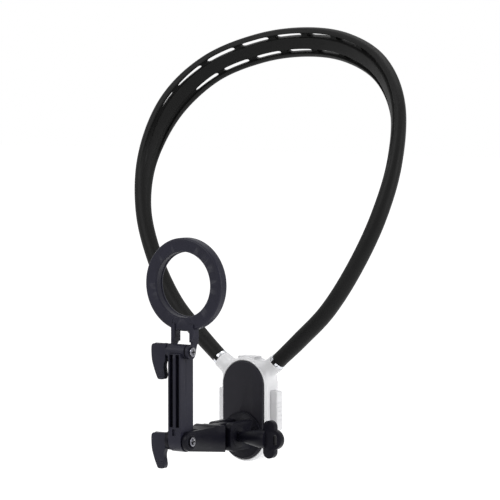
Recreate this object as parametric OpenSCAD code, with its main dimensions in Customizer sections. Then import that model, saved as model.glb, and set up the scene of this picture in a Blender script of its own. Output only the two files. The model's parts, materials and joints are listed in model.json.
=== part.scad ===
// Neck phone holder: a soft neck band, a chest base with a quick-release plate, a swivelling
// two-piece folding arm with clamp levers and a ring that grips a phone by its magnets.
// The origin is where the band's inner face rests on the nape; the wearer looks along -Y.

/* [Neck band] */
// Widest distance between the band's two sides, centre to centre
loop_w = 212; // [190:1:240]
// Height of the nape rest above the plate's lower rim
hang_drop = 292; // [270:1:320]
// Distance of the nape rest behind the plate's front face
hang_reach = 77.5; // [65:0.5:95]
// Distance between the centres of the band's two ends
loop_gap = 51; // [48:0.5:56]
// How far above the front plate the band's ends stand
loop_lift = 1; // [0:0.5:3]
// Straight lead of the band out of its socket
band_lead = 24.5; // [20:0.5:30]
// Diameter of the band at its ends
band_end_d = 11; // [10.4:0.1:11.4]
// Diameter of the band along the chest
strand_d = 11.6; // [11:0.1:13]
// Width of the band at the nape
nape_w = 21.6; // [18:0.2:24]
// Thickness of the band at the nape
nape_t = 9.6; // [8:0.2:11]
// Lean of the nape's inner face from upright, in degrees
nape_tilt = 15; // [5:1:25]
// Length of the flat band, from the nape to where it starts to round off
flat_run = 95; // [80:1:105]
// Length over which the flat band turns into a round strand
fade_run = 115; // [100:1:125]
// Distance from one rib to the next in a row of slots
slot_pitch = 29; // [26:0.5:32]
// Width of a rib between two slots
rib_w = 5; // [3.5:0.5:8]
// Width of a slot
slot_w = 2.6; // [2:0.1:3]
// Depth of the groove that the slots lie in
groove_depth = 2.4; // [1:0.1:3]
// Width of the spring-steel core
core_w = 5; // [3:0.5:6]
// Thickness of the spring-steel core
core_t = 1.2; // [0.8:0.1:2]

/* [Chest base] */
// Width of the front plate
plate_w = 34.4; // [33:0.2:37]
// Height of the front plate
plate_h = 69.5; // [66:0.5:76]
// Thickness of the front plate
plate_t = 4; // [3.8:0.1:4.6]
// How far the plate stands proud of the base
plate_proud = 1.6; // [1:0.1:2]
// Width of the base's rim round the plate
base_rim = 2.2; // [2:0.1:3]
// Depth of the base from front to back
base_depth = 14.9; // [14.4:0.1:17]
// Distance of the band's centre behind the base's front
band_set = 6.5; // [6.4:0.1:7.5]
// Radius of the base's front edge
base_fillet = 3; // [1:0.1:3]
// Wall of the base
base_wall = 2; // [1.6:0.1:2.2]
// Thickness of the back cover
cover_t = 2; // [1.6:0.1:2.2]
// Angle at which the sockets and the band leave the base, in degrees above level
socket_angle = 41; // [36:1:46]
// Diameter of the plug that joins the band to its socket
plug_d = 7; // [6:0.1:7.4]
// Length of the plug inside the base, and again inside the band
plug_run = 12; // [9:0.5:14]
// Length of the ferrule between socket and band
ferrule_l = 2.6; // [2:0.1:4]
// Height of a release button
button_h = 28; // [22:0.5:29]
// Depth of a release button from front to back
button_d = 7; // [6:0.1:7.6]
// How far a button stands out of the base
button_out = 5.9; // [3:0.1:7]
// Travel of a button
button_travel = 2; // [1:0.1:2.2]
// Diameter of a holding magnet in the base
magnet_d = 10; // [8:0.5:11]
// Thickness of a holding magnet
magnet_t = 4; // [3:0.1:5]

/* [Swivel and arm] */
// Diameter of the swivel disc
disc_d = 33; // [30:0.5:34]
// Distance of the wing screw's axis in front of the plate
clevis_reach = 18.5; // [17.5:0.1:20]
// Height of the wing screw's axis above the swivel's centre
clevis_rise = 1.5; // [0:0.1:2]
// Width of the gap between the clevis ears
clevis_gap = 9; // [8:0.1:10]
// Thickness of a clevis ear
ear_t = 5.4; // [5:0.1:6]
// Height and depth of a clevis ear
ear_h = 19.6; // [19.2:0.2:21]
// Diameter of the wing screw
wing_bolt_d = 5; // [4:0.1:6]
// Span of the wing screw's two wings
wing_span = 26.4; // [24:0.2:30]
// Lower arm from the wing screw to the lower hinge, along the chest's normal
lower_arm_l = 55; // [50:0.5:65]
// Rise of the lower hinge above the wing screw
lower_arm_rise = 2.3; // [0:0.1:4]
// Upper arm from hinge to hinge
upper_arm_l = 61.5; // [56:0.5:75]
// Width of the upper arm
arm_w = 10.4; // [9.6:0.1:11]
// Depth of the upper arm
arm_d = 14.8; // [13:0.1:16]
// Diameter of a hinge screw
hinge_d = 4; // [3:0.1:4.4]
// Diameter of a lever's hub
hub_d = 10; // [9:0.1:11]
// Length of a lever below its hinge
lever_l = 19.5; // [17:0.5:24]
// Width of a lever along its hinge
lever_w = 11.4; // [10.5:0.1:13]
// Thickness of a lever's blade
lever_t = 4; // [3:0.1:5]

/* [Phone ring] */
// Outer diameter of the ring
ring_outer_d = 64; // [62:0.2:68]
// Inner diameter of the ring
ring_inner_d = 45; // [42:0.2:46]
// Thickness of the ring from its front to the phone
ring_t = 7.7; // [7.2:0.1:9]
// Distance from the upper hinge up to the ring's centre
ring_rise = 45.5; // [44:0.5:52]
// Distance of the phone's back behind the upper hinge
phone_back = 10.2; // [9:0.1:12]
// Outer diameter of the magnet circle
magnet_outer_d = 56; // [55:0.1:56]
// Radial width of the magnet circle
magnet_ring_w = 4; // [3:0.1:4.4]
// Number of magnets in the ring
magnet_count = 18; // [12:1:24]

/* [Hidden] */
$fn = 64;

// One overrun for every cut, and the clearances that the fits share
cut = 1;
slip = 0.05;
gap = 0.2;
loose = 0.3;

// Colours
silicone = "#1d1e20";
charcoal = "#33343b";
plate_black = "#2d2c31";
base_white = "#e6e6e8";
steel = "#b9bcc0";
brass = "#b99a55";

// The chest frame: the plate's front face and lower rim, seen from the nape
chest_at = [0, -hang_reach, -hang_drop];
swivel_z = plate_w / 2;
plate_run = plate_h - plate_w;
base_y = plate_proud;
base_r = plate_w / 2 + base_rim;
base_back = base_y + base_depth;
socket_dir = [cos(socket_angle), 0, sin(socket_angle)];
band_y = base_y + band_set;
loop_start = plate_h + loop_lift;
band_end = [loop_gap / 2, band_y, loop_start];

// The band's centre line: shares of its half width, its reach and its rise, from end to nape
loop_shares = [
    [0.623, 0.013, 0.168], [0.811, 0.054, 0.303], [0.953, 0.142, 0.46], [1, 0.311, 0.626],
    [0.92, 0.547, 0.791], [0.693, 0.763, 0.913], [0.358, 0.932, 0.98]
];
nape_normal = [0, -cos(nape_tilt), -sin(nape_tilt)];
nape_centre = [0, hang_reach, hang_drop] - nape_normal * nape_t / 2;
nape_rise = nape_centre - band_end;
aim_reach = 1.5 * hang_reach;
aim = nape_centre + nape_normal * aim_reach;
half_loop = concat(
    [band_end, band_end + socket_dir * band_lead],
    [for (s = loop_shares)
        [s[0] * loop_w / 2, band_y + s[1] * nape_rise[1], loop_start + s[2] * nape_rise[2]]]
);
last_half = len(half_loop) - 1;
loop_points = concat(
    [for (p = half_loop) [-p[0], p[1], p[2]]],
    [nape_centre],
    [for (i = [last_half:-1:0]) half_loop[i]]
);
last_point = len(loop_points) - 1;
function loop_point(i) =
    i < 0 ? 2 * loop_points[0] - loop_points[1]
    : i > last_point ? 2 * loop_points[last_point] - loop_points[last_point - 1]
    : loop_points[i];
function spline(a, b, c, d, t) =
    (2 * b + (c - a) * t + (2 * a - 5 * b + 4 * c - d) * t * t + (3 * b - a - 3 * c + d) * t * t * t) / 2;
function loop_at(u) =
    let (i = min(floor(u), last_point - 1))
    spline(loop_point(i - 1), loop_point(i), loop_point(i + 1), loop_point(i + 2), u - i);
function spline_slope(a, b, c, d, t) =
    ((c - a) + 2 * (2 * a - 5 * b + 4 * c - d) * t + 3 * (3 * b - a - 3 * c + d) * t * t) / 2;
function slope_at(u) =
    let (i = min(floor(u), last_point - 1))
    spline_slope(loop_point(i - 1), loop_point(i), loop_point(i + 1), loop_point(i + 2), u - i);
unit = function (v) v / norm(v);
loop_samples = 10 * last_point;
loop_trail = [for (i = [0:loop_samples]) loop_at(i * last_point / loop_samples)];
loop_lengths = [
    for (i = 0, s = 0; i <= loop_samples;
        s = s + (i < loop_samples ? norm(loop_trail[i + 1] - loop_trail[i]) : 0), i = i + 1)
        [s, i * last_point / loop_samples]
];
half_length = loop_lengths[loop_samples][0] / 2;
// Place along the band at a run of s from the nape: point, direction, inner face and width
function place(s) =
    let (
        u = lookup(s + half_length, loop_lengths),
        along = unit(slope_at(u)),
        p = loop_at(u),
        inward = aim - p,
        face = unit(inward - (inward * along) * along)
    )
    [p, along, face, cross(face, along)];
function smooth(x) = let (t = min(max(x, 0), 1)) t * t * (3 - 2 * t);
function flatness(s) = 1 - smooth((abs(s) - flat_run) / fade_run);
function endness(s) = smooth((abs(s) - half_length + band_lead) / band_lead);
function band_w(s) = round_d(s) + (nape_w - strand_d) * flatness(s);
function band_t(s) = round_d(s) + (nape_t - strand_d) * flatness(s);
function round_d(s) = strand_d + (band_end_d - strand_d) * endness(s);
slot_reach_share = 4.6;
slot_reach = slot_pitch * slot_reach_share;
groove_fade_share = 1.5;
groove_fade = slot_pitch * groove_fade_share;
function groove(s) = groove_depth * (1 - smooth((abs(s) - slot_reach) / groove_fade));
// Outline of the band's section, from its upper edge over the inner face and back. Two points on
// each side mark a slot's edges on both faces, so that slots are cut out of the skin itself.
side_shares = [0.4, 0.75];
floor_margin = 0.2;
groove_wall = 0.4;
slot_share = 0.535;
blend_shares = [0.52, 0.21];
blend_from = half_length * blend_shares[0];
blend_run = half_length * blend_shares[1];
inner_step = 10;
outer_step = 22.5;
function bulge(v, power) = sign(v) * pow(abs(v), 2 / power);
function turn_of(b, w, power) = acos(pow(b / w, power / 2));
function quarter_turns(w, power) =
    let (
        middle = slot_share * w,
        top = turn_of(middle + slot_w / 2 + floor_margin + groove_wall, w, power)
    )
    concat(
        [0, side_shares[0] * top, side_shares[1] * top, top],
        [for (b = [slot_w / 2 + floor_margin, slot_w / 2, -slot_w / 2, -slot_w / 2 - floor_margin,
            -slot_w / 2 - floor_margin - groove_wall]) turn_of(middle + b, w, power)]
    );
function outline_turns(w, power) =
    let (q = quarter_turns(w, power), side = q[5] / 2)
    concat(
        q, [90], [for (i = [8:-1:0]) 180 - q[i]],
        [180 + side, 180 + q[5], 180 + q[6], 270, 360 - q[6], 360 - q[5], 360 - side]
    );
even_turns = concat(
    [for (i = [0:18]) i * inner_step],
    [for (i = [1:7]) 180 + i * outer_step]
);
// Points of the outline that lie on the grooves' floors
floor_marks = [0, 0, 0, 0, 1, 1, 1, 1, 0, 0, 0, 1, 1, 1, 1, 0, 0, 0, 0, 0, 0, 0, 0, 0, 0, 0];
outline_count = len(even_turns);
function ring_points(s) =
    let (
        q = place(s), power = 2 + 0.7 * flatness(s), w = band_w(s) / 2, t = band_t(s) / 2,
        turns = outline_turns(w, power), k = smooth((abs(s) - blend_from) / blend_run)
    )
    [for (j = [0:outline_count - 1])
        let (a = turns[j] * (1 - k) + even_turns[j] * k)
        q[0] + q[3] * w * bulge(cos(a), power)
            + q[2] * (t * bulge(sin(a), power) - floor_marks[j] * groove(s))];
function core_points(s, w, t) =
    let (q = place(s))
    [for (c = [[1, 1], [-1, 1], [-1, -1], [1, -1]]) q[0] + q[3] * c[0] * w / 2 + q[2] * c[1] * t / 2];
// Skin over a row of equal rings, closed by a fan at each end
module skin(rings) {
    n = len(rings[0]);
    last = len(rings) - 1;
    mid_a = [for (p = rings[0]) 1] * rings[0] / n;
    mid_b = [for (p = rings[last]) 1] * rings[last] / n;
    polyhedron(
        points = concat([for (r = rings) each r], [mid_a, mid_b]),
        faces = concat(
            [for (i = [0:last - 1]) for (j = [0:n - 1]) let (k = (j + 1) % n)
                each quad(i * n + j, i * n + k, (i + 1) * n + k, (i + 1) * n + j)],
            [for (j = [0:n - 1]) [(last + 1) * n, (j + 1) % n, j]],
            [for (j = [0:n - 1]) [(last + 1) * n + 1, last * n + j, last * n + (j + 1) % n]]
        )
    );
}
bore_run = plug_run + slip;
core_end = half_length - bore_run - gap;

// Places of the joints in the chest frame
clevis_at = [0, -clevis_reach, swivel_z + clevis_rise];
lower_at = clevis_at + [0, -lower_arm_l, lower_arm_rise];
upper_at = lower_at + [0, 0, upper_arm_l];
ring_at = upper_at + [0, phone_back, ring_rise];

module chest() {
    translate(chest_at) children();
}

// Puts a solid that stands on XY, front down, so that it faces -Y: x stays and y turns up
module facing(y) {
    translate([0, y, 0]) rotate([90, 0, 0]) children();
}

// A rod along X from x to x + l
module rod_x(r, x, l) {
    translate([x, 0, 0]) rotate([0, 90, 0]) cylinder(r = r, h = l);
}

// An outline in Y and Z, extruded along X from x to x + l
module slab_x(x, l) {
    translate([x, 0, 0]) rotate([90, 0, 90]) linear_extrude(l) children();
}

// Both sides of a symmetric piece
module both_sides() {
    children();
    mirror([1, 0, 0]) children();
}

// A stadium on XY from a half profile (radius, height), its run along +Y
module stadium(run) {
    translate([0, run, 0]) rotate_extrude(angle = 180) children();
    rotate([0, 0, 180]) rotate_extrude(angle = 180) children();
    translate([0, run, 0]) rotate([90, 0, 0]) linear_extrude(run) {
        children();
        mirror([1, 0]) children();
    }
}

// Half profile of a plate of radius r and thickness t whose top edge is rounded by f
module rounded_half(r, t, f) {
    square([r - f, t]);
    square([r, t - f]);
    translate([r - f, t - f]) circle(f);
}

// Stations of the sleeve: at both ends of each rib and between them, then evenly to the end
half_pitch = slot_pitch / 2;
slot_half_pitches = 9;
upper_slots_end = slot_half_pitches * half_pitch + rib_w / 2;
lower_slots_end = slot_half_pitches * half_pitch - rib_w / 2;
tail_steps = 24;
right_stations = concat(
    [for (k = [0:slot_half_pitches - 1]) for (d = [rib_w / 2, half_pitch / 2, half_pitch - rib_w / 2])
        k * half_pitch + d],
    [for (k = [0:tail_steps]) upper_slots_end + (half_length - upper_slots_end) * k / tail_steps]
);
last_right = len(right_stations) - 1;
sleeve_stations = concat([for (i = [last_right:-1:0]) -right_stations[i]], right_stations);
ring_total = len(sleeve_stations);
core_steps = 48;
// The core and its cavity share their stations, except for the two ends
function core_stations(reach) =
    [for (i = [0:core_steps])
        i == 0 ? -reach : i == core_steps ? reach : (2 * i / core_steps - 1) * core_end];
cavity_stations = core_stations(half_length - bore_run);
// Slots of the upper row lie between ribs at whole pitches, those of the lower at half ones
function off_rib(m, shift) = abs(m - slot_pitch * (round(m / slot_pitch - shift) + shift)) > rib_w / 2;
function is_open(i, upper) =
    i < 0 || i > ring_total - 2 ? false
    : let (m = abs(sleeve_stations[i] + sleeve_stations[i + 1]) / 2)
    upper ? m < upper_slots_end && off_rib(m, 0) : m < lower_slots_end && off_rib(m, 0.5);
// First point of each slot's edge pair on the inner face and on the outer one
upper_pair = [5, 23];
lower_pair = [12, 20];
function point_at(i, j) = i * outline_count + j;
function quad(a, b, c, d) = [[a, b, c], [a, c, d]];
function slot_faces(i, p, q, upper) =
    !is_open(i, upper) ? [] : concat(
        quad(point_at(i, p + 1), point_at(i + 1, p + 1), point_at(i + 1, q), point_at(i, q)),
        quad(point_at(i + 1, p), point_at(i, p), point_at(i, q + 1), point_at(i + 1, q + 1)),
        is_open(i - 1, upper) ? []
            : quad(point_at(i, p), point_at(i, p + 1), point_at(i, q), point_at(i, q + 1)),
        is_open(i + 1, upper) ? []
            : quad(point_at(i + 1, p + 1), point_at(i + 1, p), point_at(i + 1, q + 1), point_at(i + 1, q))
    );
function is_cut(i, j) =
    (j == upper_pair[0] || j == upper_pair[1]) ? is_open(i, true)
    : (j == lower_pair[0] || j == lower_pair[1]) ? is_open(i, false)
    : false;
bore_r = (plug_d / 2 + slip) / cos(outer_step / 2);
function bore_ring(side, depth) =
    let (q = place(side * half_length), out = [side * socket_dir[0], 0, socket_dir[2]])
    [for (a = even_turns) q[0] + out * depth + bore_r * (q[3] * cos(a) + q[2] * sin(a))];
// Faces between rings that start at a and b in the list of points, with n points each
function band_faces(a, b, n) =
    [for (j = [0:n - 1]) let (k = (j + 1) % n) each quad(a + j, a + k, b + k, b + j)];
// The corner of the core's section that a point of the bore's ring looks at
function corner_of(j) = j < 9 ? 0 : j < 18 ? 1 : j < 22 ? 2 : 3;
function step_faces(ring, core, inward) =
    [for (j = [0:outline_count - 1])
        let (k = (j + 1) % outline_count, c = core + corner_of(j), d = core + corner_of(k))
        each concat(
            [inward ? [ring + j, ring + k, c] : [ring + k, ring + j, c]],
            c == d ? [] : [inward ? [ring + k, d, c] : [c, d, ring + k]]
        )];
bore_right = ring_total * outline_count;
bore_right_deep = bore_right + outline_count;
cavity_start = bore_right_deep + outline_count;
core_sides = 4;
function core_ring(i) = cavity_start + core_sides * i;
bore_left_deep = core_ring(len(cavity_stations));
bore_left = bore_left_deep + outline_count;
module neck_sleeve() {
    color(silicone) chest() polyhedron(
        points = concat(
            [for (s = sleeve_stations) each ring_points(s)],
            bore_ring(1, 0), bore_ring(1, bore_run),
            [for (s = cavity_stations) each core_points(-s, core_w + gap, core_t + gap)],
            bore_ring(-1, bore_run), bore_ring(-1, 0)
        ),
        faces = concat(
            [for (i = [0:ring_total - 2]) for (j = [0:outline_count - 1]) if (!is_cut(i, j))
                let (k = (j + 1) % outline_count)
                each quad(point_at(i, j), point_at(i, k), point_at(i + 1, k), point_at(i + 1, j))],
            [for (i = [0:ring_total - 2]) each concat(
                slot_faces(i, upper_pair[0], upper_pair[1], true),
                slot_faces(i, lower_pair[0], lower_pair[1], false))],
            band_faces(bore_right - outline_count, bore_right, outline_count),
            band_faces(bore_right, bore_right_deep, outline_count),
            step_faces(bore_right_deep, cavity_start, true),
            [for (i = [0:core_steps - 1]) each band_faces(core_ring(i), core_ring(i + 1), core_sides)],
            step_faces(bore_left_deep, core_ring(core_steps), false),
            band_faces(bore_left_deep, bore_left, outline_count),
            band_faces(bore_left, 0, outline_count)
        )
    );
}
socket_tip = 90 - socket_angle;

module neck_core() {
    color(steel) chest() skin([for (s = core_stations(core_end)) core_points(s, core_w, core_t)]);
}

// The plug's key shows in the ferrule's notch
key_w = 2.8;
key_out = 0.3;
module end_plug() {
    translate(band_end) rotate([0, socket_tip, 0]) {
        translate([0, 0, -plug_run - ferrule_l]) cylinder(d = plug_d, h = 2 * plug_run + ferrule_l);
        translate([-key_w / 2, -band_end_d / 2 - key_out, -ferrule_l])
            cube([key_w, band_end_d / 2 + key_out, ferrule_l]);
    }
}
module end_plug_right() {
    color(silicone) chest() end_plug();
}
module end_plug_left() {
    color(silicone) chest() mirror([1, 0, 0]) end_plug();
}

ferrule_lip = 0.3;
module ferrule() {
    translate(band_end) rotate([0, socket_tip, 0]) translate([0, 0, -ferrule_l]) difference() {
        cylinder(d = band_end_d + 2 * ferrule_lip, h = ferrule_l);
        translate([0, 0, -cut]) cylinder(d = plug_d + 2 * slip, h = ferrule_l + 2 * cut);
        translate([-key_w / 2 - slip, -band_end_d, -cut])
            cube([key_w + 2 * slip, band_end_d, ferrule_l + 2 * cut]);
    }
}
module ferrule_right() {
    color(steel) chest() ferrule();
}
module ferrule_left() {
    color(steel) chest() mirror([1, 0, 0]) ferrule();
}

// The plate's recess, the floor behind it and the cavity behind the floor
recess_r = plate_w / 2 + gap;
floor_y = plate_t + gap;
floor_t = 2;
cavity_y = floor_y + floor_t;
cavity_r = base_r - base_wall;
cover_lip = 0.6;
cover_r = cavity_r + cover_lip;
cover_y = base_back - cover_t;
// A socket arm: a bell that narrows from the base's shoulder to the ferrule
arm_wall = 0.7;
arm_tip_d = band_end_d + 2 * arm_wall;
arm_root_d = 12.8;
shoulder_drop = 10;
shoulder_z = plate_h - shoulder_drop;
arm_facets = 28;
module socket_arm() {
    hull() {
        translate(band_end) rotate([0, socket_tip, 0]) translate([0, 0, -ferrule_l - 2 * ferrule_lip])
            cylinder(d = arm_tip_d, h = 2 * ferrule_lip, $fn = arm_facets);
        translate([arm_root_x, band_y, shoulder_z]) sphere(d = arm_root_d, $fn = arm_facets);
        translate([arm_low_x, band_y, button_top + arm_root_d / 2])
            sphere(d = arm_root_d, $fn = arm_facets);
        translate([arm_root_x / 2, band_y, plate_h - arm_root_d / 2])
            sphere(d = arm_root_d, $fn = arm_facets);
    }
}
arm_root_x = 8;
arm_low_x = base_r - arm_root_d / 2 - gap;
button_z = plate_h / 2;
lip_w = 14;
lip_rise = 0.6;
button_y = cavity_y + gap;
button_top = button_z + button_h / 2;
boss_d = 5.2;
screw_turn = 38;
screw_reach = cavity_r - boss_d / 2 - 2 * gap;
screw_x = screw_reach * cos(screw_turn);
screw_z = [swivel_z - screw_reach * sin(screw_turn), swivel_z + plate_run + screw_reach * sin(screw_turn)];
screw_core_d = 2;
magnet_skin = 0.6;
magnet_x = magnet_d / 2 + 2 * magnet_skin;
magnet_drop = 17;
magnet_z = plate_h - magnet_drop;
lug_x = 9.4;
lug_t = 1.8;
lug_h = 8;
foot_l = 2.2;
foot_t = 1.6;
spring_d = 4.2;
spring_z = 8.2;
spring_seat_x = 9.4;
seat_t = 1.8;
flange_t = 1.8;
flange_x = cavity_r - gap - flange_t;
module base_front_shell() {
    color(base_white) chest() difference() {
        union() {
            facing(base_back) translate([0, swivel_z, 0])
                stadium(plate_run) rounded_half(base_r, base_depth, base_fillet);
            both_sides() socket_arm();
            translate([-lip_w / 2, base_y + base_fillet, plate_h / 2])
                cube([lip_w, base_depth - 2 * base_fillet, plate_h / 2 + base_rim + lip_rise]);
        }
        // Recess for the plate
        facing(floor_y) translate([0, swivel_z, 0])
            stadium(plate_run) square([recess_r, floor_y + cut]);
        // Cavity, and the seat of the back cover
        difference() {
            facing(cover_y) translate([0, swivel_z, 0])
                stadium(plate_run) square([cavity_r, cover_y - cavity_y]);
            base_inside();
        }
        facing(base_back + cut) translate([0, swivel_z, 0])
            stadium(plate_run) square([cover_r + gap, cover_t + cut]);
        both_sides() {
            translate(band_end) rotate([0, socket_tip, 0])
                translate([0, 0, -plug_run - ferrule_l])
                    cylinder(d = plug_d + 2 * slip, h = plug_run + cut);
            translate([cavity_r - cut, button_y - gap, button_z - button_h / 2 - gap])
                cube([base_wall + 2 * cut, button_d + 2 * gap, button_h + 2 * gap]);
            translate([magnet_x, cavity_y + cut, magnet_z]) rotate([90, 0, 0])
                cylinder(d = magnet_d + 2 * slip, h = floor_t + cut - magnet_skin);
            translate([lug_x - foot_l - loose, floor_y - cut, button_z - lug_h / 2 - loose])
                cube([foot_l + lug_t + 2 * loose, floor_t + 2 * cut, lug_h + 2 * loose]);
            for (z = screw_z) translate([screw_x, base_back + cut, z]) rotate([90, 0, 0])
                cylinder(d = screw_core_d + 2 * slip, h = screw_l + cut + 2 * gap);
        }
    }
}
// Bosses and spring seats that stand on the floor inside the base
screw_l = 8;
screw_d = 2.2;
screw_head_d = 4.4;
screw_head_h = 1.4;
module base_inside() {
    both_sides() {
        for (z = screw_z) translate([screw_x, cover_y, z]) rotate([90, 0, 0])
            cylinder(d = boss_d, h = cover_y - cavity_y);
        for (side = [-1, 1])
            translate([spring_seat_x - seat_t, cavity_y, button_z + side * spring_z - spring_d / 2])
            cube([seat_t, button_d, spring_d]);
    }
}

module base_back_cover() {
    color(base_white) chest() difference() {
        facing(base_back) translate([0, swivel_z, 0]) stadium(plate_run) square([cover_r, cover_t - slip]);
        both_sides() for (z = screw_z) translate([screw_x, base_back + cut, z]) rotate([90, 0, 0]) {
            cylinder(d = screw_d + 2 * slip, h = cover_t + 2 * cut);
            cylinder(d = screw_head_d + 2 * slip, h = screw_head_h + cut);
        }
    }
}

module base_screws() {
    color(steel) chest() both_sides() for (z = screw_z)
        translate([screw_x, base_back - gap, z]) rotate([90, 0, 0]) countersunk(
            screw_head_d, screw_head_h - gap, screw_core_d, screw_l);
}
// A screw whose head starts at the origin and whose shank runs along +Z, with a cross recess
cross_share = 0.6;
cross_w_share = 0.16;
module countersunk(head_d, head_h, d, l) {
    difference() {
        union() {
            cylinder(d = head_d, h = head_h);
            cylinder(d = d, h = l);
        }
        for (a = [0, 90]) rotate([0, 0, a])
            cube([cross_share * head_d, cross_w_share * head_d, head_h], center = true);
    }
}

module base_magnets() {
    color(steel) chest() both_sides()
        translate([magnet_x, floor_y + magnet_skin + slip + magnet_t, magnet_z])
        rotate([90, 0, 0]) cylinder(d = magnet_d, h = magnet_t);
}

// A release button: a rounded cap through the side wall and a flange that stops it inside
cap_r = 1.2;
flange_over = 1.4;
grip_count = 5;
grip_w = 0.8;
grip_depth = 0.4;
grip_pitch = 3;
cap_l = base_r + button_out - flange_x - flange_t;
module button() {
    translate([flange_x, button_y, button_z]) difference() {
        union() {
            translate([0, 0, -button_h / 2 - flange_over])
                cube([flange_t, button_d, button_h + 2 * flange_over]);
            translate([flange_t, 0, -button_h / 2]) cube([cap_l - cap_r, button_d, button_h]);
            translate([flange_t, cap_r, cap_r - button_h / 2])
                cube([cap_l, button_d - 2 * cap_r, button_h - 2 * cap_r]);
            for (y = [cap_r, button_d - cap_r])
                translate([flange_t + cap_l - cap_r, y, cap_r - button_h / 2])
                    cylinder(r = cap_r, h = button_h - 2 * cap_r);
            for (z = [cap_r - button_h / 2, button_h / 2 - cap_r])
                translate([flange_t + cap_l - cap_r, cap_r, z]) rotate([-90, 0, 0])
                    cylinder(r = cap_r, h = button_d - 2 * cap_r);
            for (y = [cap_r, button_d - cap_r]) for (z = [cap_r - button_h / 2, button_h / 2 - cap_r])
                translate([flange_t + cap_l - cap_r, y, z]) sphere(cap_r);
        }
        for (i = [0:grip_count - 1])
            translate([flange_t + cap_l - grip_depth, -cut, (i - (grip_count - 1) / 2) * grip_pitch - grip_w / 2])
                cube([grip_depth + cut, button_d + 2 * cut, grip_w]);
    }
}
module button_right() {
    color(base_white) chest() button();
}
module button_left() {
    color(base_white) chest() mirror([1, 0, 0]) button();
}

// Coil springs between the seats in the base and the button's flange
spring_wire = 0.6;
spring_turns = 4;
spring_steps = 7;
spring_sides = 5;
spring_l = flange_x - spring_seat_x - 2 * slip;
module coil() {
    turns = spring_turns * spring_steps;
    r = (spring_d - spring_wire) / 2;
    rise = spring_l - spring_wire - 4 * slip;
    skin([for (i = [0:turns]) let (a = 360 * i / spring_steps, x = spring_wire / 2 + 2 * slip + rise * i / turns)
        [for (k = [0:spring_sides - 1]) let (b = -360 * k / spring_sides, p = r + spring_wire / 2 * cos(b))
            [x + spring_wire / 2 * sin(b), p * cos(a), p * sin(a)]]]);
}
module button_springs() {
    for (side = [-1, 1])
        translate([spring_seat_x + slip, button_y + button_d / 2, button_z + side * spring_z]) coil();
}
module button_springs_right() {
    color(steel) chest() button_springs();
}
module button_springs_left() {
    color(steel) chest() mirror([1, 0, 0]) button_springs();
}

// The latch clip: a bent strip on the button's flange whose lip lies in front of the plate's foot
clip_t = 0.8;
clip_h = 6;
lip_l = 2.8;
foot_y = cavity_y + clip_t + 2 * loose;
clip_y = foot_y + foot_t + loose;
lip_reach = 1.4;
lip_x = lug_x - foot_l + lip_reach - lip_l;
module latch_clip() {
    translate([0, 0, button_z - clip_h / 2]) linear_extrude(clip_h) {
        translate([lip_x, clip_y]) square([flange_x - slip - lip_x, clip_t]);
        translate([lip_x, cavity_y + loose]) square([clip_t, clip_y - cavity_y - loose + clip_t]);
        translate([lip_x, cavity_y + loose]) square([lip_l, clip_t]);
    }
}
module latch_clip_right() {
    color(steel) chest() latch_clip();
}
module latch_clip_left() {
    color(steel) chest() mirror([1, 0, 0]) latch_clip();
}

// The plate, with the swivel's pocket, the steel sheet's seat and the two latch lugs behind
plate_fillet = 1;
web_t = 2;
bush_id = 12;
bush_t = 1.1;
pocket_r = 9.6;
sheet_t = 0.8;
sheet_r = 12.6;
sheet_drop = 25;
sheet_z = plate_h - sheet_drop;
sheet_run = 9;
module plate_shell() {
    color(plate_black) chest() {
        difference() {
            facing(plate_t) translate([0, swivel_z, 0])
                stadium(plate_run) rounded_half(plate_w / 2, plate_t, plate_fillet);
            translate([0, plate_t + cut, swivel_z]) rotate([90, 0, 0]) {
                cylinder(r = pocket_r, h = plate_t - web_t + cut);
                cylinder(r = bush_id / 2 + bush_t, h = plate_t + 2 * cut);
            }
            facing(plate_t + cut) translate([0, sheet_z, 0])
                stadium(sheet_run) square([sheet_r + gap, sheet_t + cut]);
        }
        both_sides() translate([0, 0, button_z - lug_h / 2]) {
            translate([lug_x, plate_t, 0]) cube([lug_t, foot_y + foot_t - plate_t, lug_h]);
            translate([lug_x - foot_l, foot_y, 0]) cube([foot_l, foot_t, lug_h]);
        }
    }
}

module plate_steel() {
    color(steel) chest() facing(plate_t) translate([0, sheet_z, 0])
        stadium(sheet_run) square([sheet_r, sheet_t - slip]);
}

module swivel_bush() {
    color("#d8d8d2") chest() translate([0, web_t, swivel_z]) rotate([90, 0, 0]) difference() {
        cylinder(r = bush_id / 2 + bush_t, h = web_t);
        translate([0, 0, -cut]) cylinder(r = bush_id / 2 + slip, h = web_t + 2 * cut);
    }
}

// The swivel disc: a stub through the bush, a flat rim, a dome and the clevis's two ears
disc_t = 1.3;
dome_h = 3.6;
dome_r = 11.5;
ear_r = 4.4;
ear_boss_d = 15;
ear_boss_t = 0.5;
nut_af = 8;
nut_t = 4;
stub_l = web_t + slip;
module swivel_clevis() {
    color(charcoal) chest() difference() {
        union() {
            translate([0, -gap, swivel_z]) rotate([90, 0, 0]) rotate_extrude() disc_profile();
            translate([0, stub_l, swivel_z]) rotate([90, 0, 0]) cylinder(d = bush_id, h = stub_l + 2 * gap);
            both_sides() translate(clevis_at) {
                slab_x(clevis_gap / 2, ear_t) ear_outline();
                rod_x(ear_boss_d / 2, clevis_gap / 2 + ear_t, ear_boss_t);
            }
        }
        translate(clevis_at) {
            rod_x(wing_bolt_d / 2 + slip, -ear_out - cut, 2 * ear_out + 2 * cut);
            translate([-ear_out - cut, 0, 0]) rotate([0, 90, 0]) hexagon(nut_af + 2 * slip, nut_t + cut);
        }
        translate([0, stub_l + cut, swivel_z]) rotate([90, 0, 0])
            cylinder(d = swivel_screw_d + 2 * slip, h = swivel_screw_l);
    }
}
ear_out = clevis_gap / 2 + ear_t + ear_boss_t;
disc_edge = 0.5;
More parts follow.
